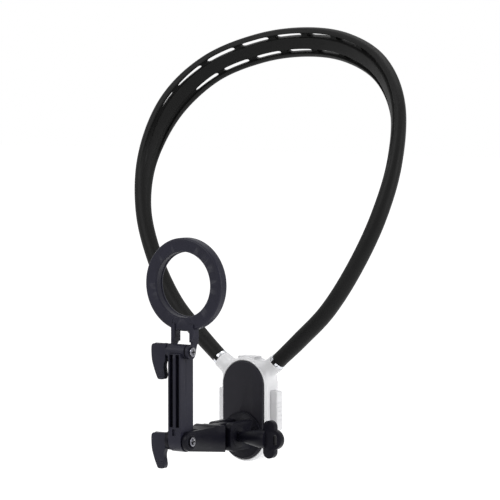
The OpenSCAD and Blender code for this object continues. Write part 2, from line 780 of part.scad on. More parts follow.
module disc_profile() {
    square([disc_d / 2 - disc_edge, disc_t]);
    square([disc_d / 2, disc_t - disc_edge]);
    translate([disc_d / 2 - disc_edge, disc_t - disc_edge]) circle(disc_edge);
    polygon([[0, 0], [disc_d / 2 - 2 * disc_edge, disc_t], [dome_r, dome_h], [0, dome_h]]);
}
module ear_outline() {
    half = ear_h / 2;
    translate([ear_r - half, ear_r - half])
        square([half + clevis_reach - ear_r - disc_t, ear_h - 2 * ear_r]);
    translate([ear_r - half, -half]) square([half + clevis_reach - ear_r - disc_t, ear_h]);
    translate([-half, ear_r - half]) square([half, ear_h - 2 * ear_r]);
    for (z = [ear_r - half, half - ear_r]) translate([ear_r - half, z]) circle(ear_r);
}
// A hexagonal prism across flats af, standing along +Z
module hexagon(af, h) {
    cylinder(d = af / cos(30), h = h, $fn = 6);
}

swivel_screw_d = 3;
swivel_screw_l = 9;
washer_t = 0.9;
washer_d = 18;
module swivel_washer() {
    color(steel) chest() translate([0, web_t + gap / 2 + washer_t, swivel_z]) rotate([90, 0, 0])
        difference() {
        cylinder(d = washer_d, h = washer_t);
        translate([0, 0, -cut]) cylinder(d = swivel_screw_d + 2 * slip, h = washer_t + 2 * cut);
    }
}
module swivel_screw() {
    color(steel) chest() translate([0, web_t + gap / 2 + washer_t + swivel_head_h, swivel_z])
        rotate([90, 0, 0])
        countersunk(2 * swivel_screw_d, swivel_head_h, swivel_screw_d, swivel_screw_l);
}
swivel_head_h = 0.9;

module clevis_nut() {
    color(steel) chest() translate(clevis_at) translate([-ear_out, 0, 0]) rotate([0, 90, 0]) difference() {
        hexagon(nut_af, nut_t);
        translate([0, 0, -cut]) cylinder(r = wing_bolt_d / 2 + slip, h = nut_t + 2 * cut);
    }
}

// The wing screw: a tapered neck, a hub, two wings and a loop at its end
neck_in_d = 6.8;
neck_out_d = 13;
neck_l = 18;
wing_t = 4.6;
wing_r = 4.6;
wing_x = 26;
loop_r = 7;
loop_x = 29.2;
eye_w = 3;
eye_h = 7.6;
eye_x = 31.4;
hub_half = 6.4;
wing_start = ear_out + gap;
module wing_knob() {
    color(charcoal) chest() translate(clevis_at + [wing_start, 0, 0]) difference() {
        union() {
            rotate([0, 90, 0]) cylinder(d1 = neck_in_d, d2 = neck_out_d, h = neck_l);
            rotate([90, 0, 0]) translate([0, 0, -wing_t / 2]) linear_extrude(wing_t) wing_outline();
            translate([neck_l, 0, 0]) rotate([0, 90, 0])
                cylinder(d = neck_out_d, h = wing_x - neck_l - wing_r / 2);
        }
        rod_x(wing_bolt_d / 2, -cut, neck_l + cut);
    }
}
module wing_outline() {
    difference() {
        union() {
            for (side = [-1, 1]) translate([wing_x, side * (wing_span / 2 - wing_r)]) circle(wing_r);
            translate([wing_x - wing_r, wing_r - wing_span / 2])
                square([2 * wing_r, wing_span - 2 * wing_r]);
            translate([loop_x, 0]) circle(loop_r);
            translate([neck_l, -hub_half]) square([wing_x - neck_l, 2 * hub_half]);
        }
        translate([eye_x, 0]) {
            translate([-eye_w / 2, eye_w / 2 - eye_h / 2]) square([eye_w, eye_h - eye_w]);
            for (side = [-1, 1]) translate([0, side * (eye_h - eye_w) / 2]) circle(eye_w / 2);
        }
    }
}
module wing_bolt() {
    color(steel) chest() translate(clevis_at)
        rod_x(wing_bolt_d / 2, -ear_out - gap, ear_out + wing_start + neck_l);
}

// The lower arm: a tongue in the clevis and a fork that holds the upper arm
prong_t = 3.1;
hinge_washer_t = 0.5;
prong_in = arm_w / 2 + hinge_washer_t + gap;
prong_out = prong_in + prong_t;
prong_r = 6.8;
boss_r = 6;
boss_t = 0.5;
head_r = 3.9;
head_h = 1.6;
tongue_r = 9.4;
tongue_t = clevis_gap - 2 * gap;
web_gap = 5.1;
web_y = arm_d / 2 + web_gap;
shoulder_gap = 5;
shoulder_y = ear_h / 2 + shoulder_gap;
module lower_arm() {
    color(charcoal) chest() translate(lower_at) difference() {
        union() {
            slab_x(-prong_out, 2 * prong_out) lower_arm_outline();
            slab_x(-tongue_t / 2, tongue_t) {
                to_clevis() circle(tongue_r);
                polygon([
                    [web_y, -prong_r], [lower_arm_l - shoulder_y, -lower_arm_rise - tongue_r],
                    [lower_arm_l, -lower_arm_rise - tongue_r], [lower_arm_l, tongue_r - lower_arm_rise],
                    [lower_arm_l - shoulder_y, tongue_r - lower_arm_rise], [web_y, prong_r]
                ]);
            }
            rod_x(boss_r, prong_out, boss_t);
            rod_x(boss_r, -prong_out - boss_t, boss_t);
        }
        // Room for the upper arm's knuckle
        translate([-prong_in, -2 * prong_r, -2 * prong_r])
            cube([2 * prong_in, web_y + 2 * prong_r, 4 * prong_r]);
        rod_x(hinge_d / 2 + slip, -prong_out - cut, 2 * prong_out + 2 * cut);
        rod_x(head_r + slip, prong_out, boss_t + cut);
        translate([0, lower_arm_l, -lower_arm_rise])
            rod_x(wing_bolt_d / 2 + 2 * slip, -clevis_gap, 2 * clevis_gap);
    }
}
module to_clevis() {
    translate([lower_arm_l, -lower_arm_rise]) children();
}
hump_y = 37;
hump_r = 6.5;
hump_out = 1;
module lower_arm_outline() {
    circle(prong_r);
    polygon([
        [0, -prong_r], [lower_arm_l - shoulder_y, -lower_arm_rise - tongue_r],
        [lower_arm_l - shoulder_y, tongue_r - lower_arm_rise], [0, prong_r]
    ]);
    intersection() {
        translate([hump_y - hump_r, tongue_r - lower_arm_rise - hump_r + hump_out]) circle(hump_r);
        translate([0, 0]) square([lower_arm_l - shoulder_y, 2 * tongue_r]);
    }
}

// A hinge screw with a pan head on the +X side; its far end turns in the lever's nut
module hinge_screw(head_x, tail_x) {
    difference() {
        union() {
            rod_x(hinge_d / 2, tail_x, head_x - tail_x);
            rod_x(head_r, head_x, head_h);
        }
        for (a = [0, 90]) translate([head_x + head_h, 0, 0]) rotate([a, 0, 0])
            cube([head_h, cross_w_share * 2 * head_r, cross_share * 2 * head_r], center = true);
    }
}
module lower_hinge_screw() {
    color(steel) chest() translate(lower_at) hinge_screw(prong_out, -prong_out - lever_w + lever_cap);
}
lever_cap = 3;
module washers(x) {
    both_sides() rotate([0, 90, 0]) translate([0, 0, x]) difference() {
        cylinder(d = hub_d, h = hinge_washer_t);
        translate([0, 0, -cut]) cylinder(d = hinge_d + 2 * slip, h = hinge_washer_t + 2 * cut);
    }
}
module lower_washers() {
    color(steel) chest() translate(lower_at) washers(arm_w / 2 + gap / 2);
}

// A clamp lever: a hub on the hinge and a blade that hangs from it, waisted above its grip
hub_edge = 1.2;
blade_shares = [
    [0, 0.48], [-0.86, 0.48], [-1, 0.36], [-1, 0.05], [-0.93, -0.4], [-0.66, -1], [-0.18, -1],
    [-0.1, -0.86], [-0.2, -0.62], [-0.22, -0.45], [0, -0.26]
];
blade_top_share = 0.5;
rib_place_share = 0.72;
grip_ribs = 4;
rib_gap = 1.6;
rib_out = 0.35;
lever_nut_af = 6.4;
lever_nut_t = 4;
module lever() {
    difference() {
        union() {
            rotate([0, -90, 0]) rotate_extrude() {
                square([hub_d / 2, lever_w - hub_edge]);
                square([hub_d / 2 - hub_edge, lever_w]);
                translate([hub_d / 2 - hub_edge, lever_w - hub_edge]) circle(hub_edge);
            }
            translate([0, lever_t / 2, 0]) rotate([90, 0, 0]) linear_extrude(lever_t) lever_outline();
            for (i = [0:grip_ribs - 1])
                translate([-lever_w * rib_place_share, -lever_t / 2 - rib_out, rib_gap * (i + 1 / 2) - lever_l])
                    cube([lever_w / 2, lever_t + 2 * rib_out, rib_gap / 2]);
        }
        rod_x(hinge_d / 2 + slip, -lever_w + lever_cap - gap, lever_w);
        translate([-lever_nut_t, 0, 0]) rotate([0, 90, 0])
            hexagon(lever_nut_af + 2 * slip, lever_nut_t + cut);
    }
}
module lever_outline() {
    polygon([for (s = blade_shares) [s[0] * lever_w, s[1] * (s[1] > 0 ? hub_d : lever_l)]]);
}
module lever_nut() {
    translate([-lever_nut_t, 0, 0]) rotate([0, 90, 0]) difference() {
        hexagon(lever_nut_af, lever_nut_t);
        translate([0, 0, -cut]) cylinder(d = hinge_d + 2 * slip, h = lever_nut_t + 2 * cut);
    }
}
// The ring's fork, which the upper hinge clamps
fork_t = 2;
knuckle_half = 6.6;
fork_in = knuckle_half + hinge_washer_t + gap;
fork_out = fork_in + fork_t;
lower_lever_x = -prong_out - boss_t - gap;
upper_lever_x = -fork_out - gap;
module lower_lever() {
    color(charcoal) chest() translate(lower_at + [lower_lever_x, 0, 0]) lever();
}
module lower_lever_nut() {
    color(brass) chest() translate(lower_at + [lower_lever_x, 0, 0]) lever_nut();
}
module upper_lever() {
    color(charcoal) chest() translate(upper_at + [upper_lever_x, 0, 0]) lever();
}
module upper_lever_nut() {
    color(brass) chest() translate(upper_at + [upper_lever_x, 0, 0]) lever_nut();
}

// The upper arm: a grooved beam with a knuckle at each end
flute_w = 2.4;
flute_x = 2.6;
flute_depth = 5;
flute_low = 9.8;
flute_high = 6;
knuckle_r = 5;
knuckle_edge = 0.8;
pocket_w = 3.4;
pocket_h = 4.6;
pocket_z = 4;
pocket_depth = 1.2;
module upper_arm() {
    color(charcoal) chest() translate(lower_at) difference() {
        union() {
            translate([-arm_w / 2, -arm_d / 2, 0])
                cube([arm_w, arm_d, upper_arm_l - knuckle_r + knuckle_edge]);
            rod_x(arm_d / 2, -arm_w / 2, arm_w);
            translate([0, 0, upper_arm_l]) knuckle();
            translate([-arm_w / 2, -knuckle_r, upper_arm_l - knuckle_r])
                cube([arm_w, 2 * knuckle_r, knuckle_r]);
        }
        for (x = [-flute_x, flute_x]) for (y = [-arm_d / 2 - cut, arm_d / 2 - flute_depth])
            translate([x - flute_w / 2, y, flute_low])
                cube([flute_w, flute_depth + cut, upper_arm_l - flute_high - flute_low]);
        translate([-pocket_w / 2, -arm_d / 2 - cut, pocket_z])
            cube([pocket_w, pocket_depth + cut, pocket_h]);
        rod_x(hinge_d / 2 + slip, -arm_w, 2 * arm_w);
        translate([0, 0, upper_arm_l]) rod_x(hinge_d / 2 + slip, -arm_w, 2 * arm_w);
    }
}
module knuckle() {
    rotate([0, 90, 0]) rotate_extrude() both_ends() {
        square([knuckle_r - knuckle_edge, knuckle_half]);
        square([knuckle_r, knuckle_half - knuckle_edge]);
        translate([knuckle_r - knuckle_edge, knuckle_half - knuckle_edge]) circle(knuckle_edge);
    }
}
module both_ends() {
    children();
    mirror([0, 1]) children();
}
module upper_washers() {
    color(steel) chest() translate(upper_at) washers(knuckle_half + gap / 2);
}
module upper_hinge_screw() {
    color(steel) chest() translate(upper_at) hinge_screw(fork_out, -fork_out - lever_w + lever_cap);
}

// The ring and its stem, whose two thin prongs carry the hinge's eyes
eye_r = 5.2;
ring_edge = 1.6;
ring_inner_edge = 0.8;
stem_top = 31;
stem_bar = 4;
back_cover_t = 1.2;
pad_t = 0.6;
yoke_t = 0.6;
ring_magnet_t = 2.4;
magnet_gap_deg = 2;
frame_t = ring_t - back_cover_t - pad_t;
magnet_r = magnet_outer_d / 2;
tray_r = magnet_r - magnet_ring_w;
module ring_frame() {
    color(charcoal) chest() difference() {
        union() {
            facing_back(ring_at, -ring_t) rotate_extrude() ring_profile();
            translate(upper_at) {
                both_sides() slab_x(fork_in, fork_t) {
                    circle(eye_r);
                    polygon([
                        [-eye_r, 0], [phone_back - ring_t, 2 * eye_r],
                        [phone_back - ring_t, ring_rise - stem_top + stem_bar],
                        [phone_back - pad_t - back_cover_t, ring_rise - stem_top + stem_bar],
                        [phone_back - pad_t - back_cover_t, 2 * eye_r], [eye_r, 0]
                    ]);
                }
                translate([-fork_out, phone_back - ring_t, ring_rise - stem_top])
                    cube([2 * fork_out, frame_t, stem_bar]);
            }
        }
        translate(upper_at) {
            rod_x(hinge_d / 2 + slip, -fork_out - cut, 2 * fork_out + 2 * cut);
        }
        facing_back(ring_at, -ring_t + frame_t - ring_magnet_t - yoke_t) rotate_extrude()
            translate([tray_r - slip, 0]) square([magnet_ring_w + 2 * slip, frame_t]);
        facing_back(ring_at, -ring_t - cut) cylinder(d = ring_inner_d, h = ring_t + 2 * cut);
    }
}
// Turns a solid that stands on XY so that its height runs along +Y from y behind a place
module facing_back(at, y) {
    translate(at + [0, y, 0]) rotate([-90, 0, 0]) children();
}
module ring_profile() {
    translate([ring_inner_d / 2, 0]) difference() {
        square([(ring_outer_d - ring_inner_d) / 2, frame_t]);
        polygon([
            [-cut, -cut], [ring_inner_edge, -cut], [ring_inner_edge, 0],
            [0, ring_inner_edge], [-cut, ring_inner_edge]
        ]);
        translate([(ring_outer_d - ring_inner_d) / 2 - ring_edge, 0]) difference() {
            translate([0, -cut]) square([ring_edge + cut, ring_edge + cut]);
            translate([0, ring_edge]) circle(ring_edge);
        }
    }
}
module ring_yoke() {
    color(steel) chest() facing_back(ring_at, -ring_t + frame_t - ring_magnet_t - yoke_t) rotate_extrude()
        translate([tray_r, 0]) square([magnet_ring_w, yoke_t]);
}
module ring_magnets() {
    color(steel) chest() facing_back(ring_at, -ring_t + frame_t - ring_magnet_t)
        for (i = [0:magnet_count - 1]) rotate([0, 0, i * 360 / magnet_count])
            rotate_extrude(angle = 360 / magnet_count - magnet_gap_deg)
                translate([tray_r, 0]) square([magnet_ring_w, ring_magnet_t - slip]);
}
inner_lip = 0.5;
module ring_back_cover() {
    color(charcoal) chest() facing_back(ring_at, -back_cover_t - pad_t) rotate_extrude()
        translate([ring_inner_d / 2 - inner_lip, 0])
            square([(ring_outer_d - ring_inner_d) / 2 + inner_lip - slip, back_cover_t]);
}
pad_edge = 1;
module ring_pad() {
    color(silicone) chest() facing_back(ring_at, -pad_t) rotate_extrude()
        translate([ring_inner_d / 2 - inner_lip + pad_edge, 0])
            square([(ring_outer_d - ring_inner_d) / 2 + inner_lip - 2 * pad_edge, pad_t]);
}

neck_sleeve();
neck_core();
end_plug_left();
end_plug_right();
ferrule_left();
ferrule_right();
base_front_shell();
base_back_cover();
base_screws();
base_magnets();
button_left();
button_right();
button_springs_left();
button_springs_right();
latch_clip_left();
latch_clip_right();
plate_shell();
plate_steel();
swivel_bush();
swivel_clevis();
swivel_washer();
swivel_screw();
clevis_nut();
wing_knob();
wing_bolt();
lower_arm();
lower_hinge_screw();
lower_washers();
lower_lever();
lower_lever_nut();
upper_arm();
upper_washers();
upper_hinge_screw();
upper_lever();
upper_lever_nut();
ring_frame();
ring_yoke();
ring_magnets();
ring_back_cover();
ring_pad();
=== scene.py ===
import json
import math

import bmesh
import bpy
import numpy as np
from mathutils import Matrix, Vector


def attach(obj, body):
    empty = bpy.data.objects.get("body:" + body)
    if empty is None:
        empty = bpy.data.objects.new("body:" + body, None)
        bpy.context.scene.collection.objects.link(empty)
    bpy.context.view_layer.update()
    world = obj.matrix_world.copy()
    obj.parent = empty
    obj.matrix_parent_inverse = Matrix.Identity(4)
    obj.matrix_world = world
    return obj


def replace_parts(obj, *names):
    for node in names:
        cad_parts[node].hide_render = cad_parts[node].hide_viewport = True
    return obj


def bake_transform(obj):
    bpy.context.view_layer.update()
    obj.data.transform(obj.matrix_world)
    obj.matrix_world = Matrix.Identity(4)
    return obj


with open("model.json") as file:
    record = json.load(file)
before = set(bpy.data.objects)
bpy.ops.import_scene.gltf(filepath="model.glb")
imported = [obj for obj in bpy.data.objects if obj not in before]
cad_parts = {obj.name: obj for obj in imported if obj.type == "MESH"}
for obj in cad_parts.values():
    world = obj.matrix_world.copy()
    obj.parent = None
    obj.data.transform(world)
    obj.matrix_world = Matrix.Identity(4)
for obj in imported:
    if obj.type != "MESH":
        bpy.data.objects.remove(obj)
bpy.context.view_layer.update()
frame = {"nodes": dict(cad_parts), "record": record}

scene = bpy.context.scene
MM = 0.001

# Origin of the chest frame in the row frame: on the plate's front face, at its lower rim. The row
# frame's own origin is on the nape's inner face. Sizes are in mm, but in metres in the materials
# and where a name ends in _M or _m.
CHEST = Vector((0.0, -77.5, -292.0))


def at(x, y, z):
    """A point of the chest frame, in mm, as a point of the row frame in metres."""
    return (Vector((x, y, z)) + CHEST) * MM


# Materials


class Nodes:
    """A material's node tree with short calls for the nodes that this scene uses."""

    def __init__(self, name):
        self.material = bpy.data.materials.new(name)
        self.material.use_nodes = True
        self.tree = self.material.node_tree
        self.tree.nodes.clear()
        self.out = self.add("ShaderNodeOutputMaterial")
        self.shader = self.add("ShaderNodeBsdfPrincipled")
        self.link(self.shader.outputs[0], self.out.inputs["Surface"])
        self.place = self.add("ShaderNodeTexCoord").outputs["Object"]

    def add(self, kind, **values):
        node = self.tree.nodes.new(kind)
        for key, value in values.items():
            setattr(node, key, value)
        return node

    def link(self, a, b):
        self.tree.links.new(a, b)

    def feed(self, socket, value):
        """Links a socket, or sets a plain value."""
        if isinstance(value, bpy.types.NodeSocket):
            self.link(value, socket)
        else:
            socket.default_value = value

    def set_shader(self, **values):
        """Sets the shader's inputs, named with underscores for spaces."""
        for key, value in values.items():
            self.shader.inputs[key.replace("_", " ")].default_value = value

    def noise(self, size, detail, rough=0.55, stretch=None):
        """Noise with features of about size metres."""
        place = self.place
        if stretch:
            mapping = self.add("ShaderNodeMapping")
            mapping.inputs["Scale"].default_value = stretch
            self.link(place, mapping.inputs["Vector"])
            place = mapping.outputs[0]
        node = self.add("ShaderNodeTexNoise")
        self.link(place, node.inputs["Vector"])
        node.inputs["Scale"].default_value = 1.0 / size
        node.inputs["Detail"].default_value = detail
        node.inputs["Roughness"].default_value = rough
        return node.outputs["Fac"]

    def cells(self, size):
        """Distance to the nearest of many points that lie about size metres apart."""
        node = self.add("ShaderNodeTexVoronoi")
        self.link(self.place, node.inputs["Vector"])
        node.inputs["Scale"].default_value = 1.0 / size
        return node.outputs["Distance"]

    def ramp(self, value, low=0.3, high=0.7, to_low=0.0, to_high=1.0):
        """The value taken from low to high, where most of a noise lies, to to_low to to_high."""
        node = self.add("ShaderNodeMapRange")
        self.feed(node.inputs["Value"], value)
        node.inputs["From Min"].default_value = low
        node.inputs["From Max"].default_value = high
        node.inputs["To Min"].default_value = to_low
        node.inputs["To Max"].default_value = to_high
        return node.outputs["Result"]

    def mix(self, factor, a, b):
        """Colour a where the factor is 0, b where it is 1."""
        node = self.add("ShaderNodeMix", data_type="RGBA")
        self.feed(node.inputs[0], factor)
        self.feed(node.inputs[6], a)
        self.feed(node.inputs[7], b)
        return node.outputs[2]

    def maths(self, operation, a, b, clamp=False):
        node = self.add("ShaderNodeMath", operation=operation, use_clamp=clamp)
        self.feed(node.inputs[0], a)
        self.feed(node.inputs[1], b)
        return node.outputs[0]

    def edges(self, radius):
        """0 on flat faces, rising towards 1 at edges that a bevel of that radius would round."""
        bevel = self.add("ShaderNodeBevel", samples=6)
        bevel.inputs["Radius"].default_value = radius
        geometry = self.add("ShaderNodeNewGeometry")
        dot = self.add("ShaderNodeVectorMath", operation="DOT_PRODUCT")
        self.link(bevel.outputs[0], dot.inputs[0])
        self.link(geometry.outputs["Normal"], dot.inputs[1])
        return self.ramp(dot.outputs["Value"], low=0.98, high=0.72), bevel.outputs[0]

    def colour(self, value):
        self.link(value, self.shader.inputs["Base Color"])

    def roughness(self, pattern, low, high, edges, polish):
        """Roughness that follows a pattern from low to high, less polish at handled edges."""
        even = self.ramp(pattern, to_low=low, to_high=high)
        rubbed = self.maths("MULTIPLY", edges, polish)
        self.link(self.maths("SUBTRACT", even, rubbed), self.shader.inputs["Roughness"])

    def bump(self, height, distance, strength, normal):
        """Bumps of up to distance metres on the shader's surface."""
        node = self.add("ShaderNodeBump")
        self.link(height, node.inputs["Height"])
        node.inputs["Distance"].default_value = distance
        node.inputs["Strength"].default_value = strength
        self.link(normal, node.inputs["Normal"])
        self.link(node.outputs[0], self.shader.inputs["Normal"])


def scaled(colour, gain, lift=0.0):
    """A colour made darker or brighter, up to white."""
    return tuple(min(c * gain + lift, 1.0) for c in colour[:3]) + (1.0,)


def grey(value):
    return (value, value, value, 1.0)


def moulded(name, colour, rough, specular, grain=0.00028, grain_depth=0.000012, edge=0.00025,
            wear=0.6, mottle=0.12):
    """A moulded plastic: fine spark-eroded grain, faint flow marks, handled edges."""
    n = Nodes(name)
    flow_marks = n.noise(size=0.018, detail=3.0)
    handling = n.noise(size=0.0022, detail=5.0, rough=0.6)
    scuffs = n.noise(size=0.009, detail=6.0, rough=0.7, stretch=(1.0, 1.0, 6.0))
    grit = n.noise(size=grain * 2.2, detail=3.0)
    grit_share = 0.8
    edges, soft_normal = n.edges(edge)
    body = n.mix(n.ramp(flow_marks), scaled(colour, 1 - mottle), scaled(colour, 1 + mottle))
    worn = scaled(colour, gain=1.5, lift=0.003)
    handled = n.ramp(handling, low=0.35, high=0.7, to_low=0.15, to_high=wear)
    n.colour(n.mix(n.maths("MULTIPLY", edges, handled, clamp=True), body, worn))
    n.roughness(scuffs, low=rough - 0.05, high=rough + 0.06, edges=edges, polish=0.12)
    height = n.maths("ADD", n.cells(grain), n.maths("MULTIPLY", grit, grit_share))
    n.bump(height, distance=grain_depth, strength=0.7, normal=soft_normal)
    n.set_shader(Specular_IOR_Level=specular)
    return n.material


def metal(name, colour, rough, stretch, anisotropy=0.0, edge=0.00015, stain=0.12):
    """A metal with fine drawn or turned lines along the axis that is stretched least."""
    n = Nodes(name)
    r, g, b, _ = colour
    blue_stain = stain * 0.8
    cloudy = n.noise(size=0.006, detail=4.0)
    lines = n.noise(size=0.0006, detail=4.0, rough=0.6, stretch=stretch)
    edges, soft_normal = n.edges(edge)
    dull = (r * (1 - stain), g * (1 - stain), b * (1 - blue_stain), 1.0)
    n.colour(n.mix(n.ramp(cloudy, low=0.3, high=0.75), colour, dull))
    n.roughness(lines, low=rough - 0.04, high=rough + 0.08, edges=edges, polish=0.06)
    n.bump(lines, distance=0.000006, strength=0.6, normal=soft_normal)
    n.set_shader(Metallic=1.0, Anisotropic=anisotropy)
    return n.material


def rubber(name, value, edge=0.0003):
    """Matt liquid-silicone rubber: a very fine skin, faint dust and a soft bloom."""
    n = Nodes(name)
    broad = n.noise(size=0.03, detail=4.0)
    dust = n.noise(size=0.0007, detail=2.0, rough=0.6)
    smears = n.noise(size=0.012, detail=5.0, rough=0.65, stretch=(1.0, 3.0, 1.0))
    fine_skin = n.noise(size=0.0004, detail=3.0, rough=0.6)
    broad_skin = n.noise(size=0.004, detail=2.0)
    broad_share = 1.5
    edges, soft_normal = n.edges(edge)
    dark, pale, dusty = value * 0.85, value * 1.15, value * 2.6
    body = n.mix(n.ramp(broad), grey(dark), grey(pale))
    specks = n.ramp(dust, low=0.70, high=0.80, to_low=0.0, to_high=0.35)
    n.colour(n.mix(specks, body, grey(dusty)))
    n.roughness(smears, low=0.46, high=0.56, edges=edges, polish=0.08)
    height = n.maths("ADD", fine_skin, n.maths("MULTIPLY", broad_skin, broad_share))
    n.bump(height, distance=0.00002, strength=0.6, normal=soft_normal)
    n.set_shader(Specular_IOR_Level=0.1, Sheen_Weight=0.012, Sheen_Roughness=0.5)
    return n.material


# Stretch of a metal whose lines have no direction
EVEN = (1.0, 1.0, 1.0)
charcoal = moulded("charcoal", (0.0105, 0.0104, 0.0185, 1.0), rough=0.42, specular=0.15)
# Charcoal made darker: painted shade for the lower arm, clevis and wing knob
painted_shade_charcoal = moulded("painted_shade_charcoal", (0.0042, 0.0041, 0.0072, 1.0), rough=0.38, specular=0.075)
# Black nylon for the washers, also used as painted shade inside the screws' cross recesses
black_nylon_and_painted_recess_shade = moulded("black_nylon_and_painted_recess_shade", (0.006, 0.006, 0.0075, 1.0), rough=0.36, specular=0.2, wear=0.2)
plate_black = moulded("plate_black", (0.0125, 0.0119, 0.0165, 1.0), rough=0.46, specular=0.14,
                      grain=0.0004, grain_depth=0.000008)
base_white = moulded("base_white", (0.61, 0.61, 0.622, 1.0), rough=0.36, specular=0.4,
                     grain=0.0005, grain_depth=0.000006, wear=0.0, mottle=0.015)
bush_plastic = moulded("bush_plastic", (0.70, 0.70, 0.66, 1.0), rough=0.3, specular=0.5,
                       mottle=0.03, wear=0.1)
silicone = rubber("silicone", 0.0048)
pad_silicone = rubber("pad", 0.008)
bright_steel = metal("bright_steel", (0.52, 0.53, 0.55, 1.0), 0.2, EVEN, anisotropy=0.2)
screw_steel = metal("screw_steel", (0.27, 0.27, 0.275, 1.0), 0.16, EVEN, anisotropy=0.2, stain=0.5)
spring_steel = metal("spring_steel", (0.52, 0.53, 0.55, 1.0), 0.3, (1.0, 1.0, 8.0), anisotropy=0.3)
magnet_metal = metal("magnet", (0.62, 0.61, 0.6, 1.0), 0.24, EVEN)
brass = metal("brass", (0.72, 0.52, 0.22, 1.0), 0.26, (6.0, 1.0, 1.0), anisotropy=0.2)
FINISH = {
    "silicone": silicone, "spring_steel": spring_steel, "bright_steel": bright_steel,
    "charcoal": charcoal, "plate_black": plate_black, "base_white": base_white,
    "bush_plastic": bush_plastic, "magnet": magnet_metal, "brass": brass, "pad": pad_silicone,
}
SLOT_OF = {row["node"]: row["material_slot"] for row in frame["record"]["subparts"]}

# Rounded edges, smooth shading and the CAD nodes' looks

SHARP = math.radians(32)
BEVEL_FROM = math.radians(38)
FLAT_WITHIN = math.radians(0.6)
WELD_M = 1e-6


def smooth_group():
    """Geometry nodes that shade a mesh smooth except across sharp edges."""
    group = bpy.data.node_groups.new("weld_and_smooth", "GeometryNodeTree")
    group.interface.new_socket("Geometry", in_out="INPUT", socket_type="NodeSocketGeometry")
    group.interface.new_socket("Geometry", in_out="OUTPUT", socket_type="NodeSocketGeometry")
    nodes, links = group.nodes, group.links
    start = nodes.new("NodeGroupInput")
    end = nodes.new("NodeGroupOutput")
    faces = nodes.new("GeometryNodeSetShadeSmooth")
    edges = nodes.new("GeometryNodeSetShadeSmooth")
    edges.domain = "EDGE"
    edges.inputs["Shade Smooth"].default_value = False
    angle = nodes.new("GeometryNodeInputMeshEdgeAngle")
    sharp = nodes.new("FunctionNodeCompare")
    sharp.data_type = "FLOAT"
    sharp.operation = "GREATER_THAN"
    sharp.inputs[1].default_value = SHARP
    links.new(angle.outputs["Unsigned Angle"], sharp.inputs[0])
    links.new(start.outputs[0], faces.inputs[0])
    links.new(faces.outputs[0], edges.inputs[0])
    links.new(sharp.outputs[0], edges.inputs["Selection"])
    links.new(edges.outputs[0], end.inputs[0])
    return group


SMOOTH = smooth_group()


def shade(obj, bevel, segments=2, weld=False):
    """Real rounded edges of bevel mm, then smooth shading across all but sharp ones, as modifiers."""
    if weld:
        modifier = obj.modifiers.new("weld", "WELD")
        modifier.merge_threshold = WELD_M
        modifier = obj.modifiers.new("flat", "DECIMATE")
        modifier.decimate_type = "DISSOLVE"
        modifier.angle_limit = FLAT_WITHIN
    if bevel:
        modifier = obj.modifiers.new("bevel", "BEVEL")
        modifier.width = bevel * MM
        modifier.segments = segments
        modifier.limit_method = "ANGLE"
        modifier.angle_limit = BEVEL_FROM
        modifier.use_clamp_overlap = True
        modifier.miter_outer = "MITER_ARC"
    modifier = obj.modifiers.new("smooth", "NODES")
    modifier.node_group = SMOOTH


def new_object(name, mesh, slot, body=None, bevel=0.0, segments=2):
    """A piece of this scene with its finish, rounded edges and the body that it rides."""
    obj = bpy.data.objects.new(name, mesh)
    scene.collection.objects.link(obj)
    mesh.materials.clear()
    mesh.materials.append(FINISH[slot])
    shade(obj, bevel, segments)
    if body:
        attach(obj, body)
    return obj


# Rounds of the edges of CAD nodes. What isn't named here keeps sharp ones or is replaced further on.
BEVELS = {
    "swivel_clevis": 0.4, "lower_arm": 0.4, "wing_knob": 0.4, "plate_shell": 0.15,
    "ferrule_left": 0.15, "ferrule_right": 0.15, "button_left": 0.12, "button_right": 0.12,
    "base_back_cover": 0.2, "ring_back_cover": 0.2, "ring_pad": 0.15, "clevis_nut": 0.15,
    "wing_bolt": 0.2, "latch_clip_left": 0.1, "latch_clip_right": 0.1, "base_screws": 0.08,
    "swivel_screw": 0.08,
}
# Nodes that look different from the rest of their slot. The lower arm, clevis and wing knob take a darker
# charcoal that paints shade on them.
OTHER_FINISH = {
    "upper_washers": black_nylon_and_painted_recess_shade, "lower_washers": black_nylon_and_painted_recess_shade, "lower_arm": painted_shade_charcoal,
    "swivel_clevis": painted_shade_charcoal, "wing_knob": painted_shade_charcoal,
}
for node, obj in frame["nodes"].items():
    obj.data.materials.clear()
    obj.data.materials.append(OTHER_FINISH.get(node, FINISH[SLOT_OF[node]]))
    shade(obj, BEVELS.get(node, 0.0), weld=True)

# Solid builders, in the chest frame and in mm

OVERRUN = 1.0
ROUND_STEPS = 64


def mesh_of(bm, name):
    """The bmesh as a mesh with its faces turned outward."""
    mesh = bpy.data.meshes.new(name)
    bmesh.ops.recalc_face_normals(bm, faces=bm.faces)
    bm.to_mesh(mesh)
    bm.free()
    return mesh


def sweep(name, rings):
    """A closed tube through rings of row-frame points, as many in each, with a fan at each end."""
    n = len(rings[0])
    vertices = [p for ring in rings for p in ring]
    faces = []
    for i in range(len(rings) - 1):
        for j in range(n):
            k = (j + 1) % n
            faces.append((i * n + j, i * n + k, (i + 1) * n + k, (i + 1) * n + j))
    first, last = len(vertices), len(vertices) + 1
    vertices.append(sum(rings[0], Vector()) / n)
    vertices.append(sum(rings[-1], Vector()) / n)
    top = (len(rings) - 1) * n
    faces += [(first, (j + 1) % n, j) for j in range(n)]
    faces += [(last, top + j, top + (j + 1) % n) for j in range(n)]
    mesh = bpy.data.meshes.new(name)
    mesh.from_pydata(vertices, [], faces)
    bm = bmesh.new()
    bm.from_mesh(mesh)
    bmesh.ops.recalc_face_normals(bm, faces=bm.faces)
    bm.to_mesh(mesh)
    bm.free()
    return mesh


